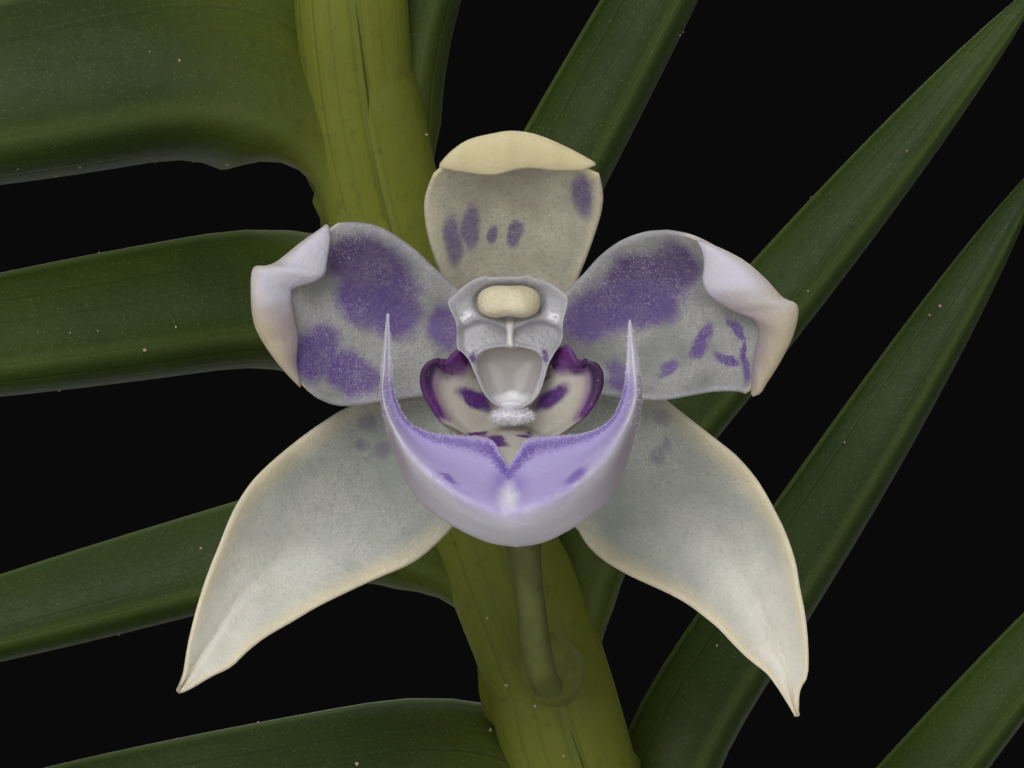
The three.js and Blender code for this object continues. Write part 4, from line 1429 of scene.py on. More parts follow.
@dataclass
class LeafyStem:
    """A stem with leaves in two ranks, each folded along its keel, whose bases sheathe the stem."""

    name: str
    path: Curve
    facing: Sequence[float]
    leaf_size: float
    left_spread: tuple[float, float, float]
    right_spread: tuple[float, float, float]
    bare_foot: float
    seed: int
    turns: dict[int, float] = field(default_factory=dict)
    widths: dict[int, float] = field(default_factory=dict)
    sunk: float = 9.0
    pitch: float = 4.45
    leaf_length: float = 29.0
    half_width: float = 2.75
    flatness: float = 1.45
    roll: float = 12.0
    tone: float = 0.5
    rib_points: int = 25
    sheath_rows: int = 9
    sheath_reach: float = 2.3
    dry_reach: float = 2.0
    dry_length: float = 12.0
    columns: int = 15
    wall: float = 0.36
    perch_out: float = 12.0
    perch_up: float = 6.0
    perch_tilt: float = -18.0

    def __post_init__(self) -> None:
        """Lays out the axis and counts the leaves."""
        self.points = along(self.path, np.linspace(0, 1, 81))
        steps = np.linalg.norm(np.diff(self.points, axis=0), axis=1)
        self.lengths = np.concatenate([[0], np.cumsum(steps)])
        self.total = float(self.lengths[-1])
        self.tangents = unit(np.gradient(self.points, axis=0))
        self.radius = 1.4 * self.leaf_size**0.5
        self.first = self.sunk + self.bare_foot
        self.leaves = int((self.total - self.first - 1) // self.pitch)

    def frame_at(self, length: Any) -> tuple[Rows, Rows, Rows, Rows]:
        """The axis at lengths from the foot: its centre, tangent, normal and side.

        Args:
            length: One length, or several.

        Returns:
            The four of them, with a row for each length.
        """
        length = np.atleast_1d(np.asarray(length, float))
        centre = rows_at(length, self.lengths, self.points)
        tangent = unit(rows_at(length, self.lengths, self.tangents))
        facing = np.asarray(self.facing, float)
        normal = unit(facing - tangent * (tangent @ facing)[:, None])
        return centre, tangent, normal, np.cross(tangent, normal)

    def thickness(self, length: Any) -> Rows:
        """The stem's radius at a length from its foot."""
        return self.radius * (1 - 0.45 * (np.clip(length, 0, self.total) / self.total) ** 3)

    def scale(self, q: float) -> float:
        """How large the leaves grow along the stem."""
        return min(1, 0.5 + 2.4 * q) * min(1, 0.42 + 3.6 * (1 - q))

    def midrib(self, number: int) -> tuple[Rows, Rows, Rows, float]:
        """A leaf's midrib: its points, the directions across and out of the blade, and its half width.

        Args:
            number: The leaf's number.

        Returns:
            The four of them.
        """
        q = (number + 0.5) / self.leaves
        handed = 1 if number % 2 else -1
        centre, tangent, normal, side = (v[0] for v in self.frame_at(self.first + number * self.pitch))
        chances = [draw(number, self.seed + k) for k in range(3)]
        length = self.leaf_length * self.leaf_size * self.scale(q) * (0.94 + 0.12 * chances[0])
        low, high, bend = self.left_spread if handed < 0 else self.right_spread
        high += 7 * (chances[1] - 0.5) + self.turns.get(number, 0)
        close = 1 - 0.45 * float(smooth(0.8, 1, q))
        s = np.linspace(0, 1, self.rib_points)
        angle = np.radians((low + (high - low) * smooth(0, bend, s)) * close)[:, None]
        bow = -0.32 * (chances[2] - 0.35) * s[:, None]
        forward = unit(tangent * np.cos(angle) + side * handed * np.sin(angle) + normal * bow)
        flat = unit(np.cross(normal, forward)) * handed
        up = unit(np.cross(forward, flat)) * handed
        roll = (math.radians(self.roll) * np.minimum(1, 4 * s))[:, None]
        across, out = flat * np.cos(roll) - up * np.sin(roll), up * np.cos(roll) + flat * np.sin(roll)
        steps = np.vstack([np.zeros(3), np.cumsum(forward[:-1] * length * s[1], axis=0)])
        wide = self.half_width * (0.55 + 0.45 * self.scale(q)) * self.leaf_size**0.5
        return centre + steps, across, out, wide * self.widths.get(number, 1)

    def section(self) -> tuple[Rows, Rows]:
        """The folded cross-section of a blade, from its front margin past the keel to its back margin.

        Returns:
            How far round each point is, from -1 to 1 with the keel at 0, and its place across and out.
        """
        v = np.linspace(-1, 1, self.columns)
        v = np.sign(v) * np.abs(v) ** 1.15
        front, keel, back = np.array([0.86, -0.3]), np.array([-0.6, 0.34]), np.array([-0.98, -1.0])
        before, reach = v[:, None] < 0, np.abs(v)[:, None]
        rows = keel + np.where(before, front - keel, back - keel) * reach
        rows += np.where(before, np.array([0.04, 0.13]), np.array([-0.12, 0.08])) * np.sin(np.pi * reach)
        blunt = np.exp(-((v / 0.13) ** 2))[:, None]
        return v, rows + blunt * np.array([0.09, -0.075])

    def blade(self, number: int, wrapped: Rows) -> tuple[Rows, Rows, Rows]:
        """A leaf's blade, which opens out of its sheath.

        Args:
            number: The leaf's number.
            wrapped: The place across and out of each point of the sheath's last row.

        Returns:
            Its rows of points, how far along each row is, and where its inner side faces.
        """
        v, fold = self.section()
        steps, across, out, wide = self.midrib(number)
        s = np.concatenate([
            np.linspace(0, 0.3, 12)[1:], np.linspace(0.3, 0.97, 18)[1:], [0.988, 0.996, 1.0],
        ])
        middle = along(steps, s)[:, None]
        shares = np.linspace(0, 1, self.rib_points)
        across, out = (unit(rows_at(s, shares, line))[:, None] for line in (across, out))
        half = wide * (0.35 + 0.65 * np.minimum(1, s / 0.25)) * np.maximum(1 - s**3.4, 0.0) ** 0.8
        half = np.maximum(half, 0.06)[:, None, None]
        blend = smooth(0.0, 0.24, s)[:, None, None]
        plan = wrapped * (1 - blend) + fold * half * blend
        plan[..., 1] += 0.07 * (half * blend)[..., 0] * np.sin(s * 9 + number)[:, None] * v**2
        rows = middle + across * plan[..., :1] + out * plan[..., 1:]
        return rows, s, middle + across * 2 - out * 9 - rows

    def leaf(self, skin: Skin, number: int, age: LeafAge = LeafAge.GREEN) -> None:
        """Adds one leaf with its sheath, or only its dry sheath.

        Args:
            skin: The stem's skin.
            number: The leaf's number from the foot.
            age: Whether it is green or dry.
        """
        green = age is LeafAge.GREEN
        v, _ = self.section()
        handed = 1 if number % 2 else -1
        down = np.linspace(-1, 0, self.sheath_rows)
        reach = self.pitch * (self.sheath_reach if green else self.dry_reach)
        lengths = self.first + number * self.pitch + down * reach
        centre, tangent, normal, side = self.frame_at(np.maximum(lengths, 2.0))
        stout = self.thickness(lengths) * (1.0 + 0.17 * smooth(-1, -0.2, down))
        wrap = [self.flatness * np.cos(v * math.pi / 2), -1.04 * np.sin(v * math.pi / 2)]
        round_stem = side[:, None] * handed * wrap[0][:, None] + normal[:, None] * wrap[1][:, None]
        sheath = centre[:, None] + round_stem * stout[:, None, None]
        if not green:
            ragged = np.array([draw(k + number * 17, 61) for k in range(self.columns)])
            sheath[-1] -= tangent[-1] * (0.4 + 1.6 * ragged + 1.5 * np.abs(v))[:, None]
        layers = [(sheath, down * 0.3, centre[:, None] - sheath)]
        if green:
            layers.append(self.blade(number, np.stack([-wrap[0], wrap[1]], axis=1) * stout[-1]))
        front, share, inward = (np.concatenate(rows) for rows in zip(*layers))
        share, v = np.broadcast_arrays(share[:, None], v)
        thick = self.wall * (0.45 + 0.55 * np.clip((1 - np.abs(v)) * 4, 0, 1))
        thick = thick * np.where(share > 0.9, np.clip((1.02 - share) / 0.12, 0.25, 1), 1)
        span = self.leaf_length * self.leaf_size if green else self.dry_length
        tone = self.tone + 0.55 * (draw(number, self.seed + 5) - 0.5)
        skin.shell(
            front, thick, inward, blade=triple(share, v, age.value),
            leaf=triple(share * span, v * self.half_width * self.leaf_size**0.5, tone),
        )

    def rod(self, skin: Skin) -> None:
        """Adds the stem itself.

        Args:
            skin: The stem's skin.
        """
        length = np.linspace(0, self.total, 70)
        centre, _, normal, side = (rows[:, None] for rows in self.frame_at(length))
        turn = circle(18)[:, None]
        stout = self.thickness(length) * 0.93 * (1 - 0.12 * smooth(self.first, self.first - 6, length))
        rings = centre + (side * self.flatness * np.cos(turn) + normal * np.sin(turn)) * stout[:, None, None]
        dry = smooth(self.first - 2, self.first - 8, length)[:, None] * np.ones(len(turn))
        skin.tube(
            rings, leaf=triple(length[:, None] + dry * 0, 0.0, self.tone), blade=triple(0.0, 0.5, dry * 0.8),
        )

    def build(self, finish: Material) -> Object:
        """Makes the stem with all its leaves and its old dry sheaths.

        Args:
            finish: The leaf tissue.

        Returns:
            The piece.
        """
        skin = Skin()
        self.rod(skin)
        for number in range(-int((self.first - self.sunk) / self.pitch), 0):
            self.leaf(skin, number, LeafAge.DRY)
        for number in range(self.leaves):
            self.leaf(skin, number)
        return dress(skin.build(self.name + "_leaves", finish, weld=0.0004), "leaf", self.name)

    def axil(self, length: float) -> Rows:
        """Where a stalk springs beside the stem."""
        centre, _, normal, _ = (v[0] for v in self.frame_at(length))
        return centre + normal * (self.radius + 0.9)

    def perch(self, length: float) -> Matrix:
        """The frame of a bloom in front of the stem that looks away from it and a little upward.

        Args:
            length: Where along the stem it is.

        Returns:
            The frame.
        """
        centre, tangent, normal, _ = (v[0] for v in self.frame_at(length))
        yaw = math.atan2(normal[0], -normal[1])
        place = Matrix.Translation(Vector(centre + normal * self.perch_out + tangent * self.perch_up))
        return place @ Euler((math.radians(self.perch_tilt), 0, yaw), "XYZ").to_matrix().to_4x4()


FOOT_REACH, FOOT_HEIGHT, SHOOT_REACH = 11, 51, 20


def outer_stem(name: str, azimuth: float, length: float, lean: float, seed: int) -> LeafyStem:
    """A shorter stem that leans out of the pot.

    Args:
        name: The stem's name.
        azimuth: The way that it leans, in degrees.
        length: How tall it is.
        lean: How far it leans out, as a share of its length.
        seed: The number that its draws start from.

    Returns:
        The stem.
    """
    out, aside = heading(math.radians(azimuth)), heading(math.radians(azimuth + 90))
    foot = out * FOOT_REACH + np.array([0, 0, FOOT_HEIGHT])
    bend = 0.16 * (draw(seed, 21) - 0.5)
    steps = ((0.26, 0.09), (0.5, 0.3), (0.72, 0.62), (0.9, 1.0))
    path = [foot] + [
        foot + length * (out * outward * lean + aside * bend * high**2 + np.array([0, 0, high]))
        for high, outward in steps
    ]
    spread = (8, 66, 0.34)
    return LeafyStem(
        name, path, facing=(out[0], out[1], 0.35), leaf_size=0.94, left_spread=spread, right_spread=spread,
        bare_foot=15, seed=seed, tone=0.3,
    )


def young_shoot(name: str, azimuth: float, length: float, lean: float, seed: int) -> LeafyStem:
    """A young shoot near the pot's rim, with small leaves from near the bark up.

    Args:
        name: The shoot's name.
        azimuth: The way that it leans, in degrees.
        length: How tall it is.
        lean: How far it leans out, as a share of its length.
        seed: The number that its draws start from.

    Returns:
        The shoot.
    """
    stem = outer_stem(name, azimuth, length, lean, seed)
    out = heading(math.radians(azimuth)) * (SHOOT_REACH - FOOT_REACH)
    return replace(stem, path=[point + out for point in stem.path], leaf_size=0.55, bare_foot=5, tone=0.75)


# Blooms


@dataclass(frozen=True)
class Blade:
    """A sepal or petal bounded by its base, its two edges and its far end, with its turned-in margin.

    The edges run from a corner of the base to one of the end, and only hold the points between them.
    """

    name: str
    base: Curve
    low: Curve
    high: Curve
    end: Curve
    fold: Curve | None = None
    belly: float = 0.9
    groove: float = 0.0
    margins: float = 0.1
    lift: float = 0.42
    crest: float = 0.93
    rows: int = 44
    columns: int = 30

    def surface(self) -> tuple[Rows, Rows, Rows]:
        """The front face, with how far along and across each point is.

        Returns:
            The points and the two shares.
        """
        s = np.linspace(0, 1 if self.fold is None else self.crest, self.rows)
        v = np.linspace(0, 1, self.columns)
        grid = along(self.base, v) * (1 - s)[:, None, None] + along(self.end, v) * s[:, None, None]
        for side, edge, share in ((0, self.low, 1 - v), (-1, self.high, v)):
            near, far = np.array(self.base[side]), np.array(self.end[side])
            drift = along([near, *edge, far], s) - near * (1 - s)[:, None] - far * s[:, None]
            grid = grid + drift[:, None] * share[None, :, None]
        s2, v2 = np.meshgrid(s, v, indexing="ij")
        dish = self.belly * 4 * v2 * (1 - v2) * np.sin(np.pi * s2) * (1 - s2**4)
        furrow = self.groove * np.exp(-(((v2 - 0.5) / 0.07) ** 2)) * smooth(0.25, 0.9, s2) * (1 - s2) ** 0.3
        ripple = 0.05 * np.sin(9 * s2 + 4 * v2) * np.sin(7 * v2 + 2 * s2) * v2 * (1 - v2) * 4
        grid[..., 1] += dish + furrow + ripple
        return grid, s2, v2

    def build(self, finish: Material, bloom: "Bloom") -> None:
        """Makes the piece.

        Args:
            finish: Its material.
            bloom: The bloom that it belongs to.
        """
        grid, s, v = self.surface()
        rim = np.minimum(np.minimum(v, 1 - v) * 2, 1.0)
        rim = np.minimum(rim, (1 - s) * 1.6 if self.fold is None else (self.crest - s) * 4)
        side_edge = smooth(self.margins * 2.4, 0.0, rim) * smooth(0.0, 0.35, s)
        thick = 0.16 - 0.08 * s**8 + 0.3 * np.clip(rim * 4, 0, 1) * (1 - s**4)
        tip = smooth(0.15, 0.9, s) if self.fold is None else 0 * s
        folded = 0 * s if self.fold is None else smooth(0.9, 0.92, s)
        skin = Skin()
        skin.shell(grid, thick, BACKWARD, bloom=grid, tissue=triple(side_edge, folded, tip))
        if self.fold is not None:
            self.flap(skin)
        node = f"{bloom.name}_{self.name}"
        slot = "petal" if "petal" in self.name else "sepal"
        dress(skin.build(node, finish, bloom.place), slot, node)

    def flap(self, skin: Skin) -> None:
        """Adds the margin that is turned in over the blade's far end, with a soft fleshy edge.

        Args:
            skin: The blade's skin.
        """
        v = np.linspace(0.0, 1.0, self.columns * 2)
        outer, inner = along(self.end, v), along(self.fold, v)
        ends = (np.sin(np.pi * np.clip(v, 0.001, 0.999)) ** 0.25)[:, None]
        inner = outer + (inner - outer) * ends
        width = np.linalg.norm(inner - outer, axis=1)
        lift = np.minimum(self.lift, 0.12 + width * 0.3) * ends[:, 0]
        brim = (outer - inner) / np.maximum(width, 0.05)[:, None] * 0.06
        section = [
            (-0.02, 0.46), (-0.09, 0.28), (-0.12, 0.05), (-0.08, -0.2), (0.03, -0.5), (0.2, -0.86),
            (0.42, -1.0), (0.64, -0.96), (0.84, -0.78), (0.97, -0.56), (1.02, -0.36), (0.98, -0.14),
            (0.9, 0.1), (0.7, 0.22), (0.4, 0.3),
        ]
        wave = 1 + 0.1 * np.sin(v * 21) + 0.06 * np.sin(v * 47 + 1)
        rings = []
        for out, depth in section:
            ring = outer + (inner - outer) * max(out, 0.0) + brim * (1 - smooth(0.0, 0.25, out))
            ring[:, 1] += depth * lift * (wave if depth < 0 else 1)
            rings.append(ring)
        rings = np.stack(rings, axis=1)
        shares = np.broadcast_to([share for share, _ in section], rings.shape[:2])
        skin.tube(rings, bloom=rings, tissue=triple(0.0, 1.0, shares))


DORSAL_SEPAL = Blade(
    "dorsal_sepal",
    base=[[-1.1, 0.7, 1.2], [0, 0.8, 1.1], [1.1, 0.7, 1.2]],
    low=[[-1.85, 0.4, 3.2], [-2.5, -0.2, 4.9], [-2.7, -0.9, 6.3]],
    high=[[1.75, 0.4, 3.2], [2.4, -0.2, 4.9], [2.8, -0.9, 6.3]],
    end=[[-2.3, -1.8, 7.45], [-1.9, -1.9, 7.85], [-1.35, -1.9, 8.2], [-0.55, -1.9, 8.4], [0.0, -1.9, 8.47],
         [0.6, -1.9, 8.4], [1.2, -1.9, 8.2], [1.85, -1.85, 7.9], [2.4, -1.8, 7.6], [2.65, -1.8, 7.45]],
    fold=[[-2.35, -1.8, 7.2], [-1.85, -1.75, 7.1], [-1.15, -1.7, 7.06], [-0.55, -1.7, 7.1], [0.0, -1.7, 7.28],
          [0.6, -1.7, 7.36], [1.2, -1.7, 7.26], [1.75, -1.7, 7.2], [2.2, -1.75, 7.2], [2.65, -1.8, 7.4]],
    belly=0.6, lift=0.22,
)
LEFT_SEPAL = Blade(
    "left_sepal",
    base=[[-0.4, 0.9, -1.75], [-1.2, 0.9, -0.9], [-1.8, 0.9, 0]],
    low=[[-1.1, 0.8, -3], [-1.9, 0.7, -3.95], [-2.6, 0.6, -4.65], [-3.3, 0.5, -5.17],
         [-4.35, 0.35, -5.62], [-5.4, 0.2, -6.1], [-6.27, 0, -6.52], [-7, -0.2, -6.95],
         [-7.9, -0.45, -7.47], [-8.48, -0.65, -7.92], [-9, -0.85, -8.42], [-9.6, -1.05, -8.72],
         [-10.25, -1.25, -9.12]],
    high=[[-3.4, 0.8, 0.05], [-5, 0.55, -0.22], [-6.1, 0.3, -0.85], [-7, 0.1, -1.52],
          [-7.75, -0.15, -2.17], [-8.27, -0.35, -2.73], [-8.7, -0.5, -3.4], [-9, -0.65, -4.07],
          [-9.22, -0.75, -4.65], [-9.52, -0.85, -5.4], [-9.78, -0.95, -6.15], [-10, -1.05, -6.88],
          [-10.22, -1.15, -7.78], [-10.35, -1.25, -8.6]],
    end=[[-10.57, -1.3, -9.28], [-10.6, -1.3, -9.25], [-10.57, -1.3, -9.2]],
    groove=0.2, margins=0.12,
)
RIGHT_SEPAL = Blade(
    "right_sepal",
    base=[[0.4, 0.9, -1.75], [1.2, 0.9, -0.9], [2, 0.9, 0]],
    low=[[1.2, 0.8, -3.1], [2.1, 0.7, -4.02], [2.45, 0.65, -4.55], [2.95, 0.55, -5.03],
         [3.6, 0.45, -5.43], [4.2, 0.35, -5.72], [5.05, 0.15, -6.1], [5.7, 0, -6.46],
         [6.25, -0.15, -6.87], [6.68, -0.3, -7.23], [7.12, -0.45, -7.7], [7.63, -0.65, -8.2],
         [8.15, -0.85, -8.6], [8.45, -1, -9], [8.75, -1.15, -9.5]],
    high=[[3.4, 0.8, 0.3], [4.65, 0.55, 0.05], [5.23, 0.4, -0.36], [5.82, 0.3, -0.82],
          [6.45, 0.15, -1.32], [7.05, 0, -1.8], [7.55, -0.15, -2.35], [7.9, -0.3, -2.85],
          [8.26, -0.45, -3.5], [8.55, -0.55, -4.1], [8.77, -0.65, -4.67], [8.95, -0.75, -5.3],
          [9.05, -0.85, -5.95], [9.18, -0.95, -6.6], [9.28, -1.05, -7.32], [9.33, -1.1, -8.1],
          [9.3, -1.2, -8.75], [9.1, -1.25, -9.12], [9.05, -1.3, -9.55]],
    end=[[9, -1.3, -9.98], [9.06, -1.3, -10.02], [9.1, -1.3, -9.95]],
    groove=0.2, margins=0.12,
)
LEFT_PETAL = Blade(
    "left_petal",
    base=[[-1.15, -0.2, 0.45], [-1.15, -0.2, 1.8], [-1.15, -0.2, 3]],
    low=[[-2.6, -0.4, 0.26], [-3.75, -0.7, 0.1], [-5.25, -1.1, -0.1], [-6.1, -1.4, 0.08]],
    high=[[-1.85, -0.4, 3.55], [-2.55, -0.6, 4.15], [-3.25, -0.75, 4.8], [-4.2, -1, 5.42],
          [-5.1, -1.3, 5.6]],
    end=[[-6.7, -1.6, 0.45], [-7.3, -1.9, 1.1], [-7.83, -2.1, 1.85], [-8.12, -2.2, 2.5], [-8.2, -2.3, 3.4],
         [-8.13, -2.25, 4.15], [-7.7, -2.1, 4.25], [-7.35, -1.95, 4.42], [-6.65, -1.75, 5.0],
         [-5.85, -1.55, 5.55]],
    fold=[[-6.62, -1.6, 0.7], [-6.7, -1.6, 1.2], [-6.66, -1.6, 1.6], [-6.66, -1.6, 2.0], [-6.76, -1.6, 2.33],
          [-6.92, -1.65, 2.85], [-6.99, -1.7, 3.25], [-6.97, -1.7, 3.52], [-6.62, -1.7, 3.65],
          [-6.19, -1.7, 3.77], [-5.85, -1.65, 4.02], [-5.7, -1.6, 4.4], [-5.55, -1.55, 4.93],
          [-5.5, -1.5, 5.2], [-5.65, -1.5, 5.4]],
    margins=0.05,
)
RIGHT_PETAL = Blade(
    "right_petal",
    base=[[1.15, -0.2, 0.45], [1.15, -0.2, 1.8], [1.15, -0.2, 3]],
    low=[[2.8, -0.4, 0.26], [4.0, -0.7, 0.13], [4.9, -0.9, 0.12], [5.7, -1.1, 0.26], [6.5, -1.35, 0.38],
         [7.15, -1.6, 0.34]],
    high=[[1.8, -0.3, 3.45], [2.35, -0.45, 3.95], [2.87, -0.6, 4.52], [3.5, -0.75, 4.98],
          [4.15, -0.95, 5.24], [4.7, -1.1, 5.33], [5.35, -1.35, 5.25]],
    end=[[7.6, -1.75, 0.15], [7.85, -1.85, 0.28], [8.05, -1.9, 0.6], [8.42, -2.05, 1.2], [8.85, -2.2, 2.1],
         [8.98, -2.25, 2.95], [8.5, -2.15, 3.25], [8.0, -2, 3.8], [7.35, -1.85, 4.37], [6.6, -1.7, 4.78],
         [5.9, -1.55, 5.05]],
    fold=[[7.5, -1.65, 0.3], [7.5, -1.65, 0.78], [7.56, -1.65, 1.17], [7.68, -1.7, 1.7], [7.8, -1.75, 2.2],
          [7.63, -1.75, 2.53], [7.25, -1.75, 2.72], [6.93, -1.7, 2.85], [6.47, -1.65, 3.12],
          [6.08, -1.6, 3.43], [5.89, -1.6, 3.76], [5.9, -1.55, 4.2], [5.87, -1.55, 4.6], [5.8, -1.55, 4.95]],
    margins=0.05,
)


@dataclass
class Lip:
    """The anchor-shaped lip: a saddle with an ear on each side, a claw, and a crescent with two horns."""

    rim: Curve = (
        (0, -5.9, -2.05), (0.26, -5.75, -1.62), (0.58, -5.5, -1.2), (1.3, -5.3, -1.1), (2.4, -5.1, -1),
        (3.2, -4.8, -0.6), (3.6, -4.6, 0.2), (3.72, -4.6, 1.1), (3.76, -4.6, 1.9), (3.8, -4.7, 2.5),
    )
    crease: Curve = (
        (0, -7.1, -3.35), (0.55, -7.15, -3.25), (1.2, -7.05, -2.98), (2.15, -6.75, -2.42),
        (3.05, -6.2, -1.65), (3.7, -5.6, -0.65), (3.97, -5.2, 0.2), (3.92, -4.95, 1.1),
        (3.87, -4.8, 1.9), (3.84, -4.75, 2.5),
    )
    under: Curve = (
        (0, -5.6, -4.55), (0.8, -5.6, -4.42), (1.6, -5.5, -4.08), (2.45, -5.3, -3.57), (3.17, -5, -2.9),
        (3.74, -4.7, -1.6), (4.12, -4.6, -0.2), (4.1, -4.6, 1), (3.97, -4.6, 1.85), (3.86, -4.7, 2.5),
    )
    depth: float = 0.8
    bowl_base: Curve = (
        (-1.5, -3.0, -1.05), (-1.95, -3.3, -0.75), (-2.4, -3.5, -0.35), (-2.76, -3.7, 0.35),
        (-2.75, -3.75, 0.9), (-2.46, -3.75, 1.2), (-2.08, -3.5, 1.15), (-1.72, -3.2, 1.55),
    )
    bowl_low: Curve = ((-0.6, -2.9, -1.3), (0.6, -2.9, -1.3))
    bowl_high: Curve = ((-1.15, -2.95, 1.35), (-0.7, -2.3, 0.8), (0.7, -2.3, 0.8), (1.15, -2.95, 1.4))
    bowl_corners: Curve = ((1.55, -3.0, -1.05), (1.72, -3.2, 1.7))
    claw: Curve = ((0, -1.2, -0.9), (0, -3.0, -1.2), (0, -4.2, -1.5), (0, -5.0, -2.0), (0, -5.5, -2.6))
    tongue: Curve = ((0.0, -3.72, -0.5), (0.66, 0.3, 0.2))

    def anchor(self, skin: Skin) -> None:
        """Adds the crescent with its horns.

        Args:
            skin: The lip's skin.
        """
        half = np.linspace(0, 1, 40)
        s = np.concatenate([-half[:0:-1], half])
        lines = {}
        for key in ("rim", "crease", "under"):
            line = along(getattr(self, key), np.abs(s))
            line[:, 0] = line[:, 0] * np.sign(s) * 0.985 - 0.1
            if key == "under":
                line[:, 0] += 0.25 * (1 - np.abs(s))
            line[:, 2] += 0.2 * smooth(0.7, 1, -s)
            lines[key] = line
        share = np.abs(s)[:, None]
        rim, crease, under = lines.values()
        wall = self.depth * (1 - 0.75 * share)
        corners = {
            0.0: rim - BACKWARD * 0.03,
            0.5: (rim + crease) / 2 + np.array([[0.0, 0.28, -0.1]]) * (1 - share),
            1.0: crease,
            1.4: crease * 0.62 + under * 0.38 - BACKWARD * 0.42 * (1 - share),
            1.75: crease * 0.25 + under * 0.75 - BACKWARD * 0.38 * (1 - share),
            2.0: under,
            2.6: under * 0.7 + rim * 0.3 + BACKWARD * wall * 0.9,
            2.9: rim * 0.85 + under * 0.15 + BACKWARD * wall * 0.7,
        }
        ring, stations = list(corners.values()), [*corners, 3.0]
        closed = [ring[-1], *ring, *ring[:2]]
        fine, bands = [], []
        for k in range(len(ring)):
            for w in (0.0, 0.25, 0.5, 0.75):
                fine.append(between(closed[k:k + 4], w, 0.42))
                bands.append(min(2.0, stations[k] + (stations[k + 1] - stations[k]) * w))
        rings = np.stack(fine, axis=1)
        skin.tube(rings, bloom=rings, lip=triple(np.array(bands), -1.0, smooth(0.55, 1.0, share)))

    def bowl(self, skin: Skin) -> None:
        """Adds the saddle with its ears, and the claw that carries the crescent.

        Args:
            skin: The lip's skin.
        """
        mirrored = [(-x, y, z) for x, y, z in self.bowl_base]
        mirrored[0], mirrored[-1] = self.bowl_corners
        edges = (self.bowl_base, self.bowl_low, self.bowl_high, mirrored)
        grid, s, v = Blade("saddle", *edges, belly=0.55, rows=56, columns=26).surface()
        grid[..., 1] -= 0.35 * (smooth(0.16, 0.0, s) + smooth(0.84, 1.0, s))
        ear = np.maximum(smooth(0.17, 0.0, s), smooth(0.83, 1.0, s))
        top = smooth(0.8, 1.0, v) * np.maximum(smooth(0.36, 0.1, s), smooth(0.64, 0.9, s))
        ear = np.maximum(ear * smooth(0.08, 0.3, v), top)
        thick = 0.14 + 0.16 * (1 - ear)
        skin.shell(grid, thick, BACKWARD, bloom=grid, lip=triple(1.0, ear, 0.0))
        line = evenly(self.claw, 22)
        share, turn = np.linspace(0, 1, len(line)), circle(20)
        wide = np.interp(share, [0, 0.35, 0.75, 1], [0.9, 1.25, 0.9, 0.45])[:, None]
        deep = np.interp(share, [0, 0.5, 1], [0.4, 0.36, 0.3])[:, None]
        tangent = unit(np.gradient(line, axis=0))
        up = unit(np.cross(np.array([[1.0, 0, 0]]), tangent))
        rise = deep * np.sin(turn) + 0.22 * np.cos(turn) ** 2 * wide
        rings = line[:, None] + triple(wide * np.cos(turn), 0.0, 0.0) + up[:, None] * rise[..., None]
        skin.tube(rings, bloom=rings, lip=triple(np.ones(rings.shape[:2]), 0.0, 0.0))

    def build(self, bloom: "Bloom") -> None:
        """Makes the lip, its tongue and, where they are seen close, its hairs.

        Args:
            bloom: The bloom that it belongs to.
        """
        node, finishes = bloom.name + "_lip", bloom.finishes
        skin = Skin()
        self.anchor(skin)
        self.bowl(skin)
        lip = dress(skin.build(node, finishes.lip, bloom.place), "lip", node)
        tongue = ball(bloom.name + "_tongue", *self.tongue, (16, 20), finishes.stigma, bloom.place)
        dress(tongue, "lip", node)
        if not bloom.hairy:
            return
        hairs = (
            ("beard", tongue, 520, 0.13, 0.012, finishes.white_hair, 5, everywhere),
            ("fringe", lip, 110, 0.07, 0.009, finishes.dark_hair, 9,
             lambda _, named: np.clip(named[:, 1] * 2 - 0.9, 0, 1)),
            ("down", lip, 110, 0.06, 0.007, finishes.white_hair, 3,
             lambda _, named: (named[:, 0] < 0.3) * (named[:, 1] < -0.5) + (named[:, 2] > 0.02) * 0.7),
        )
        for kind, surface, *sizes, weight in hairs:
            made = Hairs(f"{bloom.name}_{kind}", *sizes, lean=0.9).grow(patch_of(surface, kind, weight))
            dress(made, "lip", node)


def ball(name: str, middle: Sequence[float], half: Sequence[float], grid: tuple[int, int],
         finish: Material, place: Matrix, shape: Any = None) -> Object:
    """Makes a round lump.

    Args:
        name: Its name.
        middle: Its centre.
        half: Its half sizes.
        grid: How many rings it has, and how many points each ring has.
        finish: Its material.
        place: The frame that it is in.
        shape: A function that changes the points of a ball of size one, or nothing.

    Returns:
        The object.
    """
    u, t = np.meshgrid(np.linspace(0.04, math.pi - 0.04, grid[0]), circle(grid[1]), indexing="ij")
    points = triple(np.sin(u) * np.cos(t), np.sin(u) * np.sin(t), np.cos(u))
    if shape:
        points = shape(points)
    points = points * np.asarray(half) + np.asarray(middle)
    return body(name, points, finish, place, bloom=points)


def bean(points: Rows) -> Rows:
    """A ball of size one as two rounded lobes, with a notch between them below and a flatter top.

    Args:
        points: The ball's points.

    Returns:
        The lobes' points.
    """
    x, y, z = np.moveaxis(points, -1, 0)
    lobes = np.exp(-((x / 0.22) ** 2))
    wide, high = np.sign(x) * np.abs(x) ** 0.76, np.sign(z) * np.abs(z) ** 0.74
    high = high + lobes * (0.16 * np.clip(-z, 0, 1) - 0.05 * np.clip(z, 0, 1))
    return triple(wide, y * (1 - 0.12 * lobes), high)


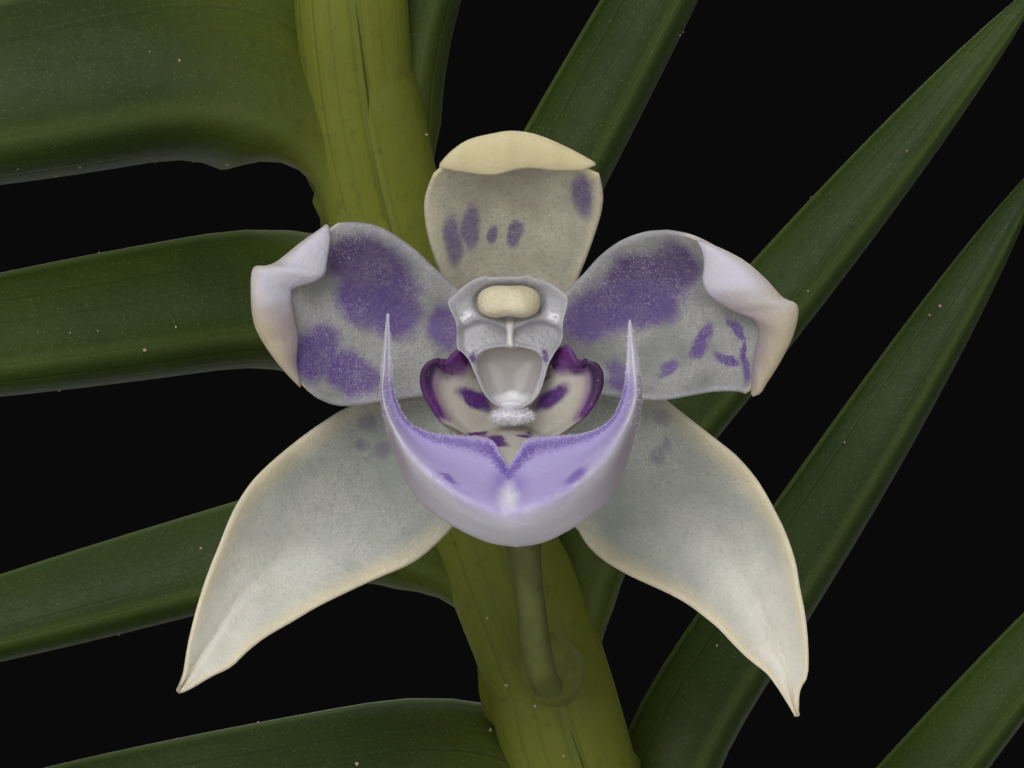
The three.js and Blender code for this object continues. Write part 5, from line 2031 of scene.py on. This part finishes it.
@dataclass
class Column:
    """The column: a stout stalk with a winged hood, a bed for the pollen cap and a hollow below it."""

    outline: Curve = (
        (-0.27, 3.87), (0.2, 3.87), (0.5, 3.92), (0.62, 3.85), (1.1, 3.7), (1.44, 3.5), (1.7, 3.28),
        (1.74, 3.1), (1.69, 2.8), (1.6, 2.48), (1.6, 2.12), (1.55, 1.82), (1.34, 1.49), (1.15, 1.13),
        (1.02, 0.68), (0.85, 0.22), (0.53, -0.14), (0.01, -0.3), (-0.39, -0.22), (-0.74, 0.04),
        (-0.94, 0.33), (-1.15, 0.79), (-1.33, 1.22), (-1.55, 1.5), (-1.71, 1.62), (-1.74, 2.07),
        (-1.76, 2.45), (-1.93, 2.82), (-2.0, 3.12), (-1.8, 3.3), (-1.54, 3.55), (-1.2, 3.78),
        (-0.95, 3.87), (-0.83, 3.9), (-0.7, 3.85),
    )
    heart: float = 1.5
    face: float = -3.6
    around: int = 112
    back: Curve = ((0.1, 1.0), (0.3, 0.985), (0.7, 0.955), (1.4, 0.88), (2.2, 0.78), (3.1, 0.62))
    wet: Curve = ((0.0, -3.3, -0.12), (0.36, 0.16, 0.13))
    cap: Curve = ((-0.1, -3.95, 3.08), (0.98, 0.6, 0.53))

    def parts(self, x: Rows, z: Rows) -> tuple[Rows, Rows, Rows]:
        """Where the hollow is (0 in its middle, 1 at its edge), the panes (1 at their tops) and the strut.

        Args:
            x: The places across the face.
            z: The places up the face.

        Returns:
            The three values at each place.
        """
        brink = 1.68 - 0.15 * ((x + 0.1) / 1.0) ** 2
        levels, halves = (-0.3, 0.05, 0.33, 0.8, 1.2, 1.5, 1.8), (0.2, 0.62, 0.8, 0.95, 1.06, 1.1, 1.12)
        half = np.interp(z, levels, halves)
        sides, top = np.abs(x + 0.08) / half, np.clip(1 - (brink - z) / 0.9, 0, 3)
        bottom = np.clip(1 - (z + 0.26) / 0.7, 0, 3)
        hollow = (sides**5 + top**5 + bottom**5) ** 0.2
        panes = np.zeros_like(x)
        for middle, high in ((-0.97, 2.56), (0.85, 2.54)):
            arc = high - 0.29 * ((x - middle) / 0.74) ** 2
            down = (arc - z) / np.maximum(arc - brink, 0.05)
            near = smooth(0.86, 0.76, np.abs(x - middle))
            panes = np.maximum(panes, near * smooth(0, 0.16, down) * np.clip(1 - down, 0, 1))
        strut = smooth(0.16, 0.05, np.abs(x + 0.07)) * smooth(1.6, 1.72, z) * smooth(2.75, 2.5, z)
        return hollow, panes, strut

    def depth(self, x: Rows, z: Rows, ring: Rows) -> Rows:
        """How deep the face lies at each place, from the hood's margin to the bottom of the hollow.

        Args:
            x: The places across the face.
            z: The places up the face.
            ring: How far from its heart they are, up to 1 at the margin.

        Returns:
            The depth at each place.
        """
        hollow, panes, strut = self.parts(x, z)
        well = 0.6 * np.sqrt(np.clip(1 - hollow**2, 0, 1))
        brim = 0.1 * np.exp(-(((hollow - 1.04) / 0.05) ** 2)) * smooth(1.2, 1.5, z)
        bed = 0.3 * smooth(1.08, 0.8, np.hypot((x + 0.09) / 1.15, (z - 3.08) / 0.62))
        wing = 0.2 * smooth(0.86, 1.0, ring) * smooth(0.4, 2.0, z)
        return self.face + well - brim + 0.3 * panes - 0.1 * strut + bed - wing

    def build(self, bloom: "Bloom") -> None:
        """Makes the column, the wet patch in its hollow, and the pollen cap.

        Args:
            bloom: The bloom that it belongs to.
        """
        shares = np.linspace(0, 1, self.around, endpoint=False)
        x, z = along([*self.outline, self.outline[0]], shares).T
        edge, middle = triple(x, 0.0, z), np.array([0.0, 0.0, self.heart])
        rings = []
        for ring in np.concatenate([np.linspace(0.015, 0.9, 30), [0.94, 0.97, 0.99, 1.0]]):
            row = middle + (edge - middle) * ring
            row[:, 1] = self.depth(row[:, 0], row[:, 2], np.full(self.around, ring))
            rings.append(row)
        for y, size in self.back:
            row = middle + (edge - middle) * size
            row[:, 1] = np.minimum(self.depth(x, z, np.ones(self.around)) + y, -0.5)
            rings.append(row)
        rings = np.array(rings)
        hollow, panes, strut = self.parts(rings[..., 0], rings[..., 2])
        front = rings[..., 1] < self.face + 0.8
        values = triple(smooth(1.03, 0.95, hollow) * front, smooth(0, 0.3, panes), strut)
        node, place, finishes = bloom.name + "_column", bloom.place, bloom.finishes
        dress(body(node, rings, finishes.column, place, bloom=rings, column=values), "column", node)
        wet = ball(bloom.name + "_stigma", *self.wet, (18, 24), finishes.stigma, place)
        dress(wet, "column", node)
        node = bloom.name + "_anther_cap"
        dress(ball(node, *self.cap, (30, 44), finishes.anther, place, bean), "anther", node)


@dataclass
class Bloom:
    """A whole bloom: sepals, petals, lip, column and stalk."""

    name: str
    place: Matrix
    stem_point: Rows
    finishes: Finishes
    hairy: bool = True

    def pedicel(self) -> None:
        """Makes the stalk with its ovary, and the bract at its foot."""
        foot = np.array(self.place.inverted() @ Vector(self.stem_point))
        top = np.array([0, 1.9, 0])
        dip = foot * 0.6 + top * 0.4 - np.array([0, 0, 0.22 * np.linalg.norm(top - foot)])
        points, sides, ribs = 60, 24, 6
        line = [foot, dip, top + np.array([0, 2.5, -1.6]), top, top + np.array([0, -0.9, 0.35])]
        line, share = evenly(line, points), np.linspace(0, 1, points)
        radii = np.interp(share, [0, 0.45, 0.66, 0.9, 1], [0.5, 0.5, 0.72, 0.86, 0.8])
        ridge = 0.07 * np.cos(circle(sides) * ribs)[:, None] * smooth(0.5, 0.8, share)[:, None, None]
        rings = line[:, None] + (rods(line, radii, sides) - line[:, None]) * (1 + ridge)
        node = self.name + "_pedicel"
        dress(body(node, rings, self.finishes.pedicel, self.place), "pedicel", node)
        away = unit(dip - foot)
        tip = foot + away * 4.2 + np.array([0, 0, 0.9])
        spine = evenly([foot - away * 0.6, (foot + tip) / 2 + away * 0.2, tip], 26)
        radii = np.interp(np.linspace(0, 1, 26), [0, 0.3, 0.7, 1], [0.8, 1.12, 0.8, 0.06])
        bract = body(self.name + "_bract", rods(spine, radii, 18), self.finishes.bract, self.place)
        dress(bract, "pedicel", node)

    def build(self) -> None:
        """Makes every organ."""
        finishes = self.finishes
        for blade, finish in (
            (DORSAL_SEPAL, finishes.dorsal), (LEFT_SEPAL, finishes.lateral), (RIGHT_SEPAL, finishes.lateral),
            (LEFT_PETAL, finishes.petal), (RIGHT_PETAL, finishes.petal),
        ):
            blade.build(finish, self)
        Lip().build(self)
        Column().build(self)
        self.pedicel()


@dataclass
class Bud:
    """A closed bud on a short stalk, with the seams between its sepals."""

    name: str
    stem: LeafyStem
    length: float

    def build(self, finishes: Finishes) -> None:
        """Makes the stalk and the bud in one piece.

        Args:
            finishes: The plant's finishes.
        """
        foot = self.stem.axil(self.length)
        _, tangent, normal, _ = (v[0] for v in self.stem.frame_at(self.length))
        lean = unit(normal + tangent * 0.7)
        line = [foot] + [
            foot + lean * reach + tangent * lift
            for reach, lift in ((2.2, -0.3), (4.6, 0.2), (7.2, 1.2), (9.6, 2.4))
        ]
        share, sides = np.linspace(0, 1, 64), 36
        spine = along(line, share)
        radii = np.interp(share * 6, range(7), [0.55, 0.6, 1, 2.1, 2.5, 1.8, 0.12])
        radii = np.convolve(np.pad(radii, 3, mode="edge"), np.ones(7) / 7, mode="valid")
        radii[-3:] = (0.8, 0.5, 0.12)
        rings = rods(spine, radii, sides)
        seam = -0.1 * np.exp(-((((circle(sides) + 1.05) % 2.094) - 1.047) / 0.16) ** 2)
        seam = 1 + seam[:, None] * smooth(0.4, 0.62, share)[:, None, None]
        rings = spine[:, None] + (rings - spine[:, None]) * seam
        dress(body(self.name + "_closed", rings, finishes.bud), "sepal", self.name)


# The studio


@dataclass
class Studio:
    """A pale floor, soft lamps and the camera, in metres."""

    floor_radius: float = 1.4
    backdrop: Colour = (0.003, 0.003, 0.003)
    lens: float = 197.75
    sensor: float = 36.0
    eye: Sequence[float] = (-0.002, -0.2, 0.165512)
    flower: Sequence[float] = (-0.002, -0.02, 0.165)
    plant: Sequence[float] = (0.0, 0.0, 0.1)

    def lamp(self, name: str, place: Sequence[float], aim: Sequence[float], size: float,
             power: float) -> None:
        """Adds one soft lamp.

        Args:
            name: Its name.
            place: Where it hangs.
            aim: Where it points.
            size: How wide it is.
            power: Its power in watts.
        """
        light = bpy.data.lights.new(name, "AREA")
        light.shape, light.size, light.energy = "DISK", size, power
        made = put(name, light)
        made.location = place
        made.rotation_euler = (Vector(aim) - Vector(place)).to_track_quat("-Z", "Y").to_euler()
        made.visible_camera = False

    def build(self) -> None:
        """Sets up the floor, the world, the lamps and the camera."""
        mesh, turn = bpy.data.meshes.new("floor"), circle(96)
        ring = triple(np.cos(turn), np.sin(turn), 0.0) * self.floor_radius
        mesh.from_pydata(ring.tolist(), [], [tuple(range(len(turn)))])
        mesh.materials.append(Paint("floor", (0.74, 0.73, 0.71)).close(0.85))
        put("floor", mesh)
        scene = bpy.context.scene
        scene.world = bpy.data.worlds.new("studio")
        scene.world.use_nodes = True
        scene.world.node_tree.nodes["Background"].inputs[0].default_value = (*self.backdrop, 1)
        self.lamp("key", (-0.07, -0.3, 0.33), self.flower, 0.2, 0.55)
        self.lamp("fill_left", (-0.28, -0.4, 0.17), self.flower, 0.35, 0.55)
        self.lamp("fill_right", (0.28, -0.42, 0.17), self.flower, 0.35, 0.45)
        self.lamp("back", (0.1, 0.6, 0.55), self.plant, 0.5, 1.6)
        self.lamp("top", (0.0, 0.0, 0.9), self.plant, 0.6, 1.6)
        camera = bpy.data.cameras.new("camera")
        camera.lens, camera.sensor_width = self.lens, self.sensor
        camera.clip_start, camera.clip_end = 0.02, 20
        scene.camera = put("camera", camera)
        scene.camera.location, scene.camera.rotation_euler = self.eye, (math.pi / 2, 0, 0)
        scene.view_settings.view_transform, scene.view_settings.look = "Standard", "None"


def plant_stems() -> dict[str, LeafyStem]:
    """Every leafy stem by name.

    Returns:
        The stems, with the front one first.
    """
    front = LeafyStem(
        "stem_front",
        path=[(4, 8, 51), (8, 8.5, 82), (9, 4.5, 112), (5, -0.8, 137), (0.2, -5, 152.2), (-3.7, -8.4, 163.7),
              (-6.3, -10.8, 171.3), (-7.4, -13.2, 179), (-8.2, -17, 191), (-9.5, -21.5, 204)],
        facing=(0.05, -1, 0.25), leaf_size=1.2, left_spread=(0, 80, 0.39), right_spread=(0, 51, 0.42),
        bare_foot=16.7, seed=11, turns={16: -2, 17: 13, 18: 8, 19: -6, 20: -3, 21: -14, 22: 6, 23: -20},
        widths={13: 0.66, 15: 0.66, 16: 0.8, 17: 0.62, 18: 0.65, 19: 0.65, 20: 0.86, 21: 0.7,
                22: 1.2, 23: 0.7},
    )
    outer = (
        ("stem_right", 12, 92, 0.62, 31), ("stem_back", 88, 84, 0.6, 42), ("stem_left", 166, 96, 0.6, 53),
        ("stem_front_left", 232, 78, 0.72, 64), ("stem_front_right", 306, 70, 0.78, 75),
    )
    young = (("shoot_right", 338, 36, 0.3, 86), ("shoot_back", 128, 30, 0.35, 97))
    stems = [front, *(outer_stem(*row) for row in outer), *(young_shoot(*row) for row in young)]
    return {stem.name: stem for stem in stems}


def leaf_dust(finishes: Finishes, leaves: Object) -> None:
    """Fine grains of debris that have settled on the front stem's leaves.

    Args:
        finishes: The plant's finishes.
        leaves: The front stem's piece.
    """
    host = patch_of(leaves, "dust_host", lambda points, _: (points[:, 2] > 100) * 1.0)
    dust = Hairs("leaf_dust", count=0.07, length=0.09, radius=0.06, material=finishes.dust, seed=13,
                 lean=1.6, sides=5)
    dress(dust.grow(host), "bark", "stem_front")


def main() -> None:
    """Builds the plant, its pot and the studio, in order."""
    logging.basicConfig(level=logging.INFO, format="%(message)s")
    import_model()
    finishes = Finishes()
    pot = Pot()
    pot.build(finishes.clay)
    stems = plant_stems()
    BarkMix(pot, finishes).build([stem.points[0] for stem in stems.values()])
    made = {name: stem.build(finishes.leaf) for name, stem in stems.items()}
    leaf_dust(finishes, made["stem_front"])
    front, right_front, left = stems["stem_front"], stems["stem_front_right"], stems["stem_left"]
    Bloom("bloom_a", Matrix.Translation((-2, -20, 165)), front.axil(108), finishes).build()
    Bloom("bloom_b", right_front.perch(52), right_front.axil(52), finishes, hairy=False).build()
    Bloom("bloom_c", left.perch(66), left.axil(66), finishes, hairy=False).build()
    Bud("bud_a", front, 92).build(finishes)
    Bud("bud_b", stems["stem_right"], 62).build(finishes)
    Studio().build()


if __name__ == "__main__":
    main()
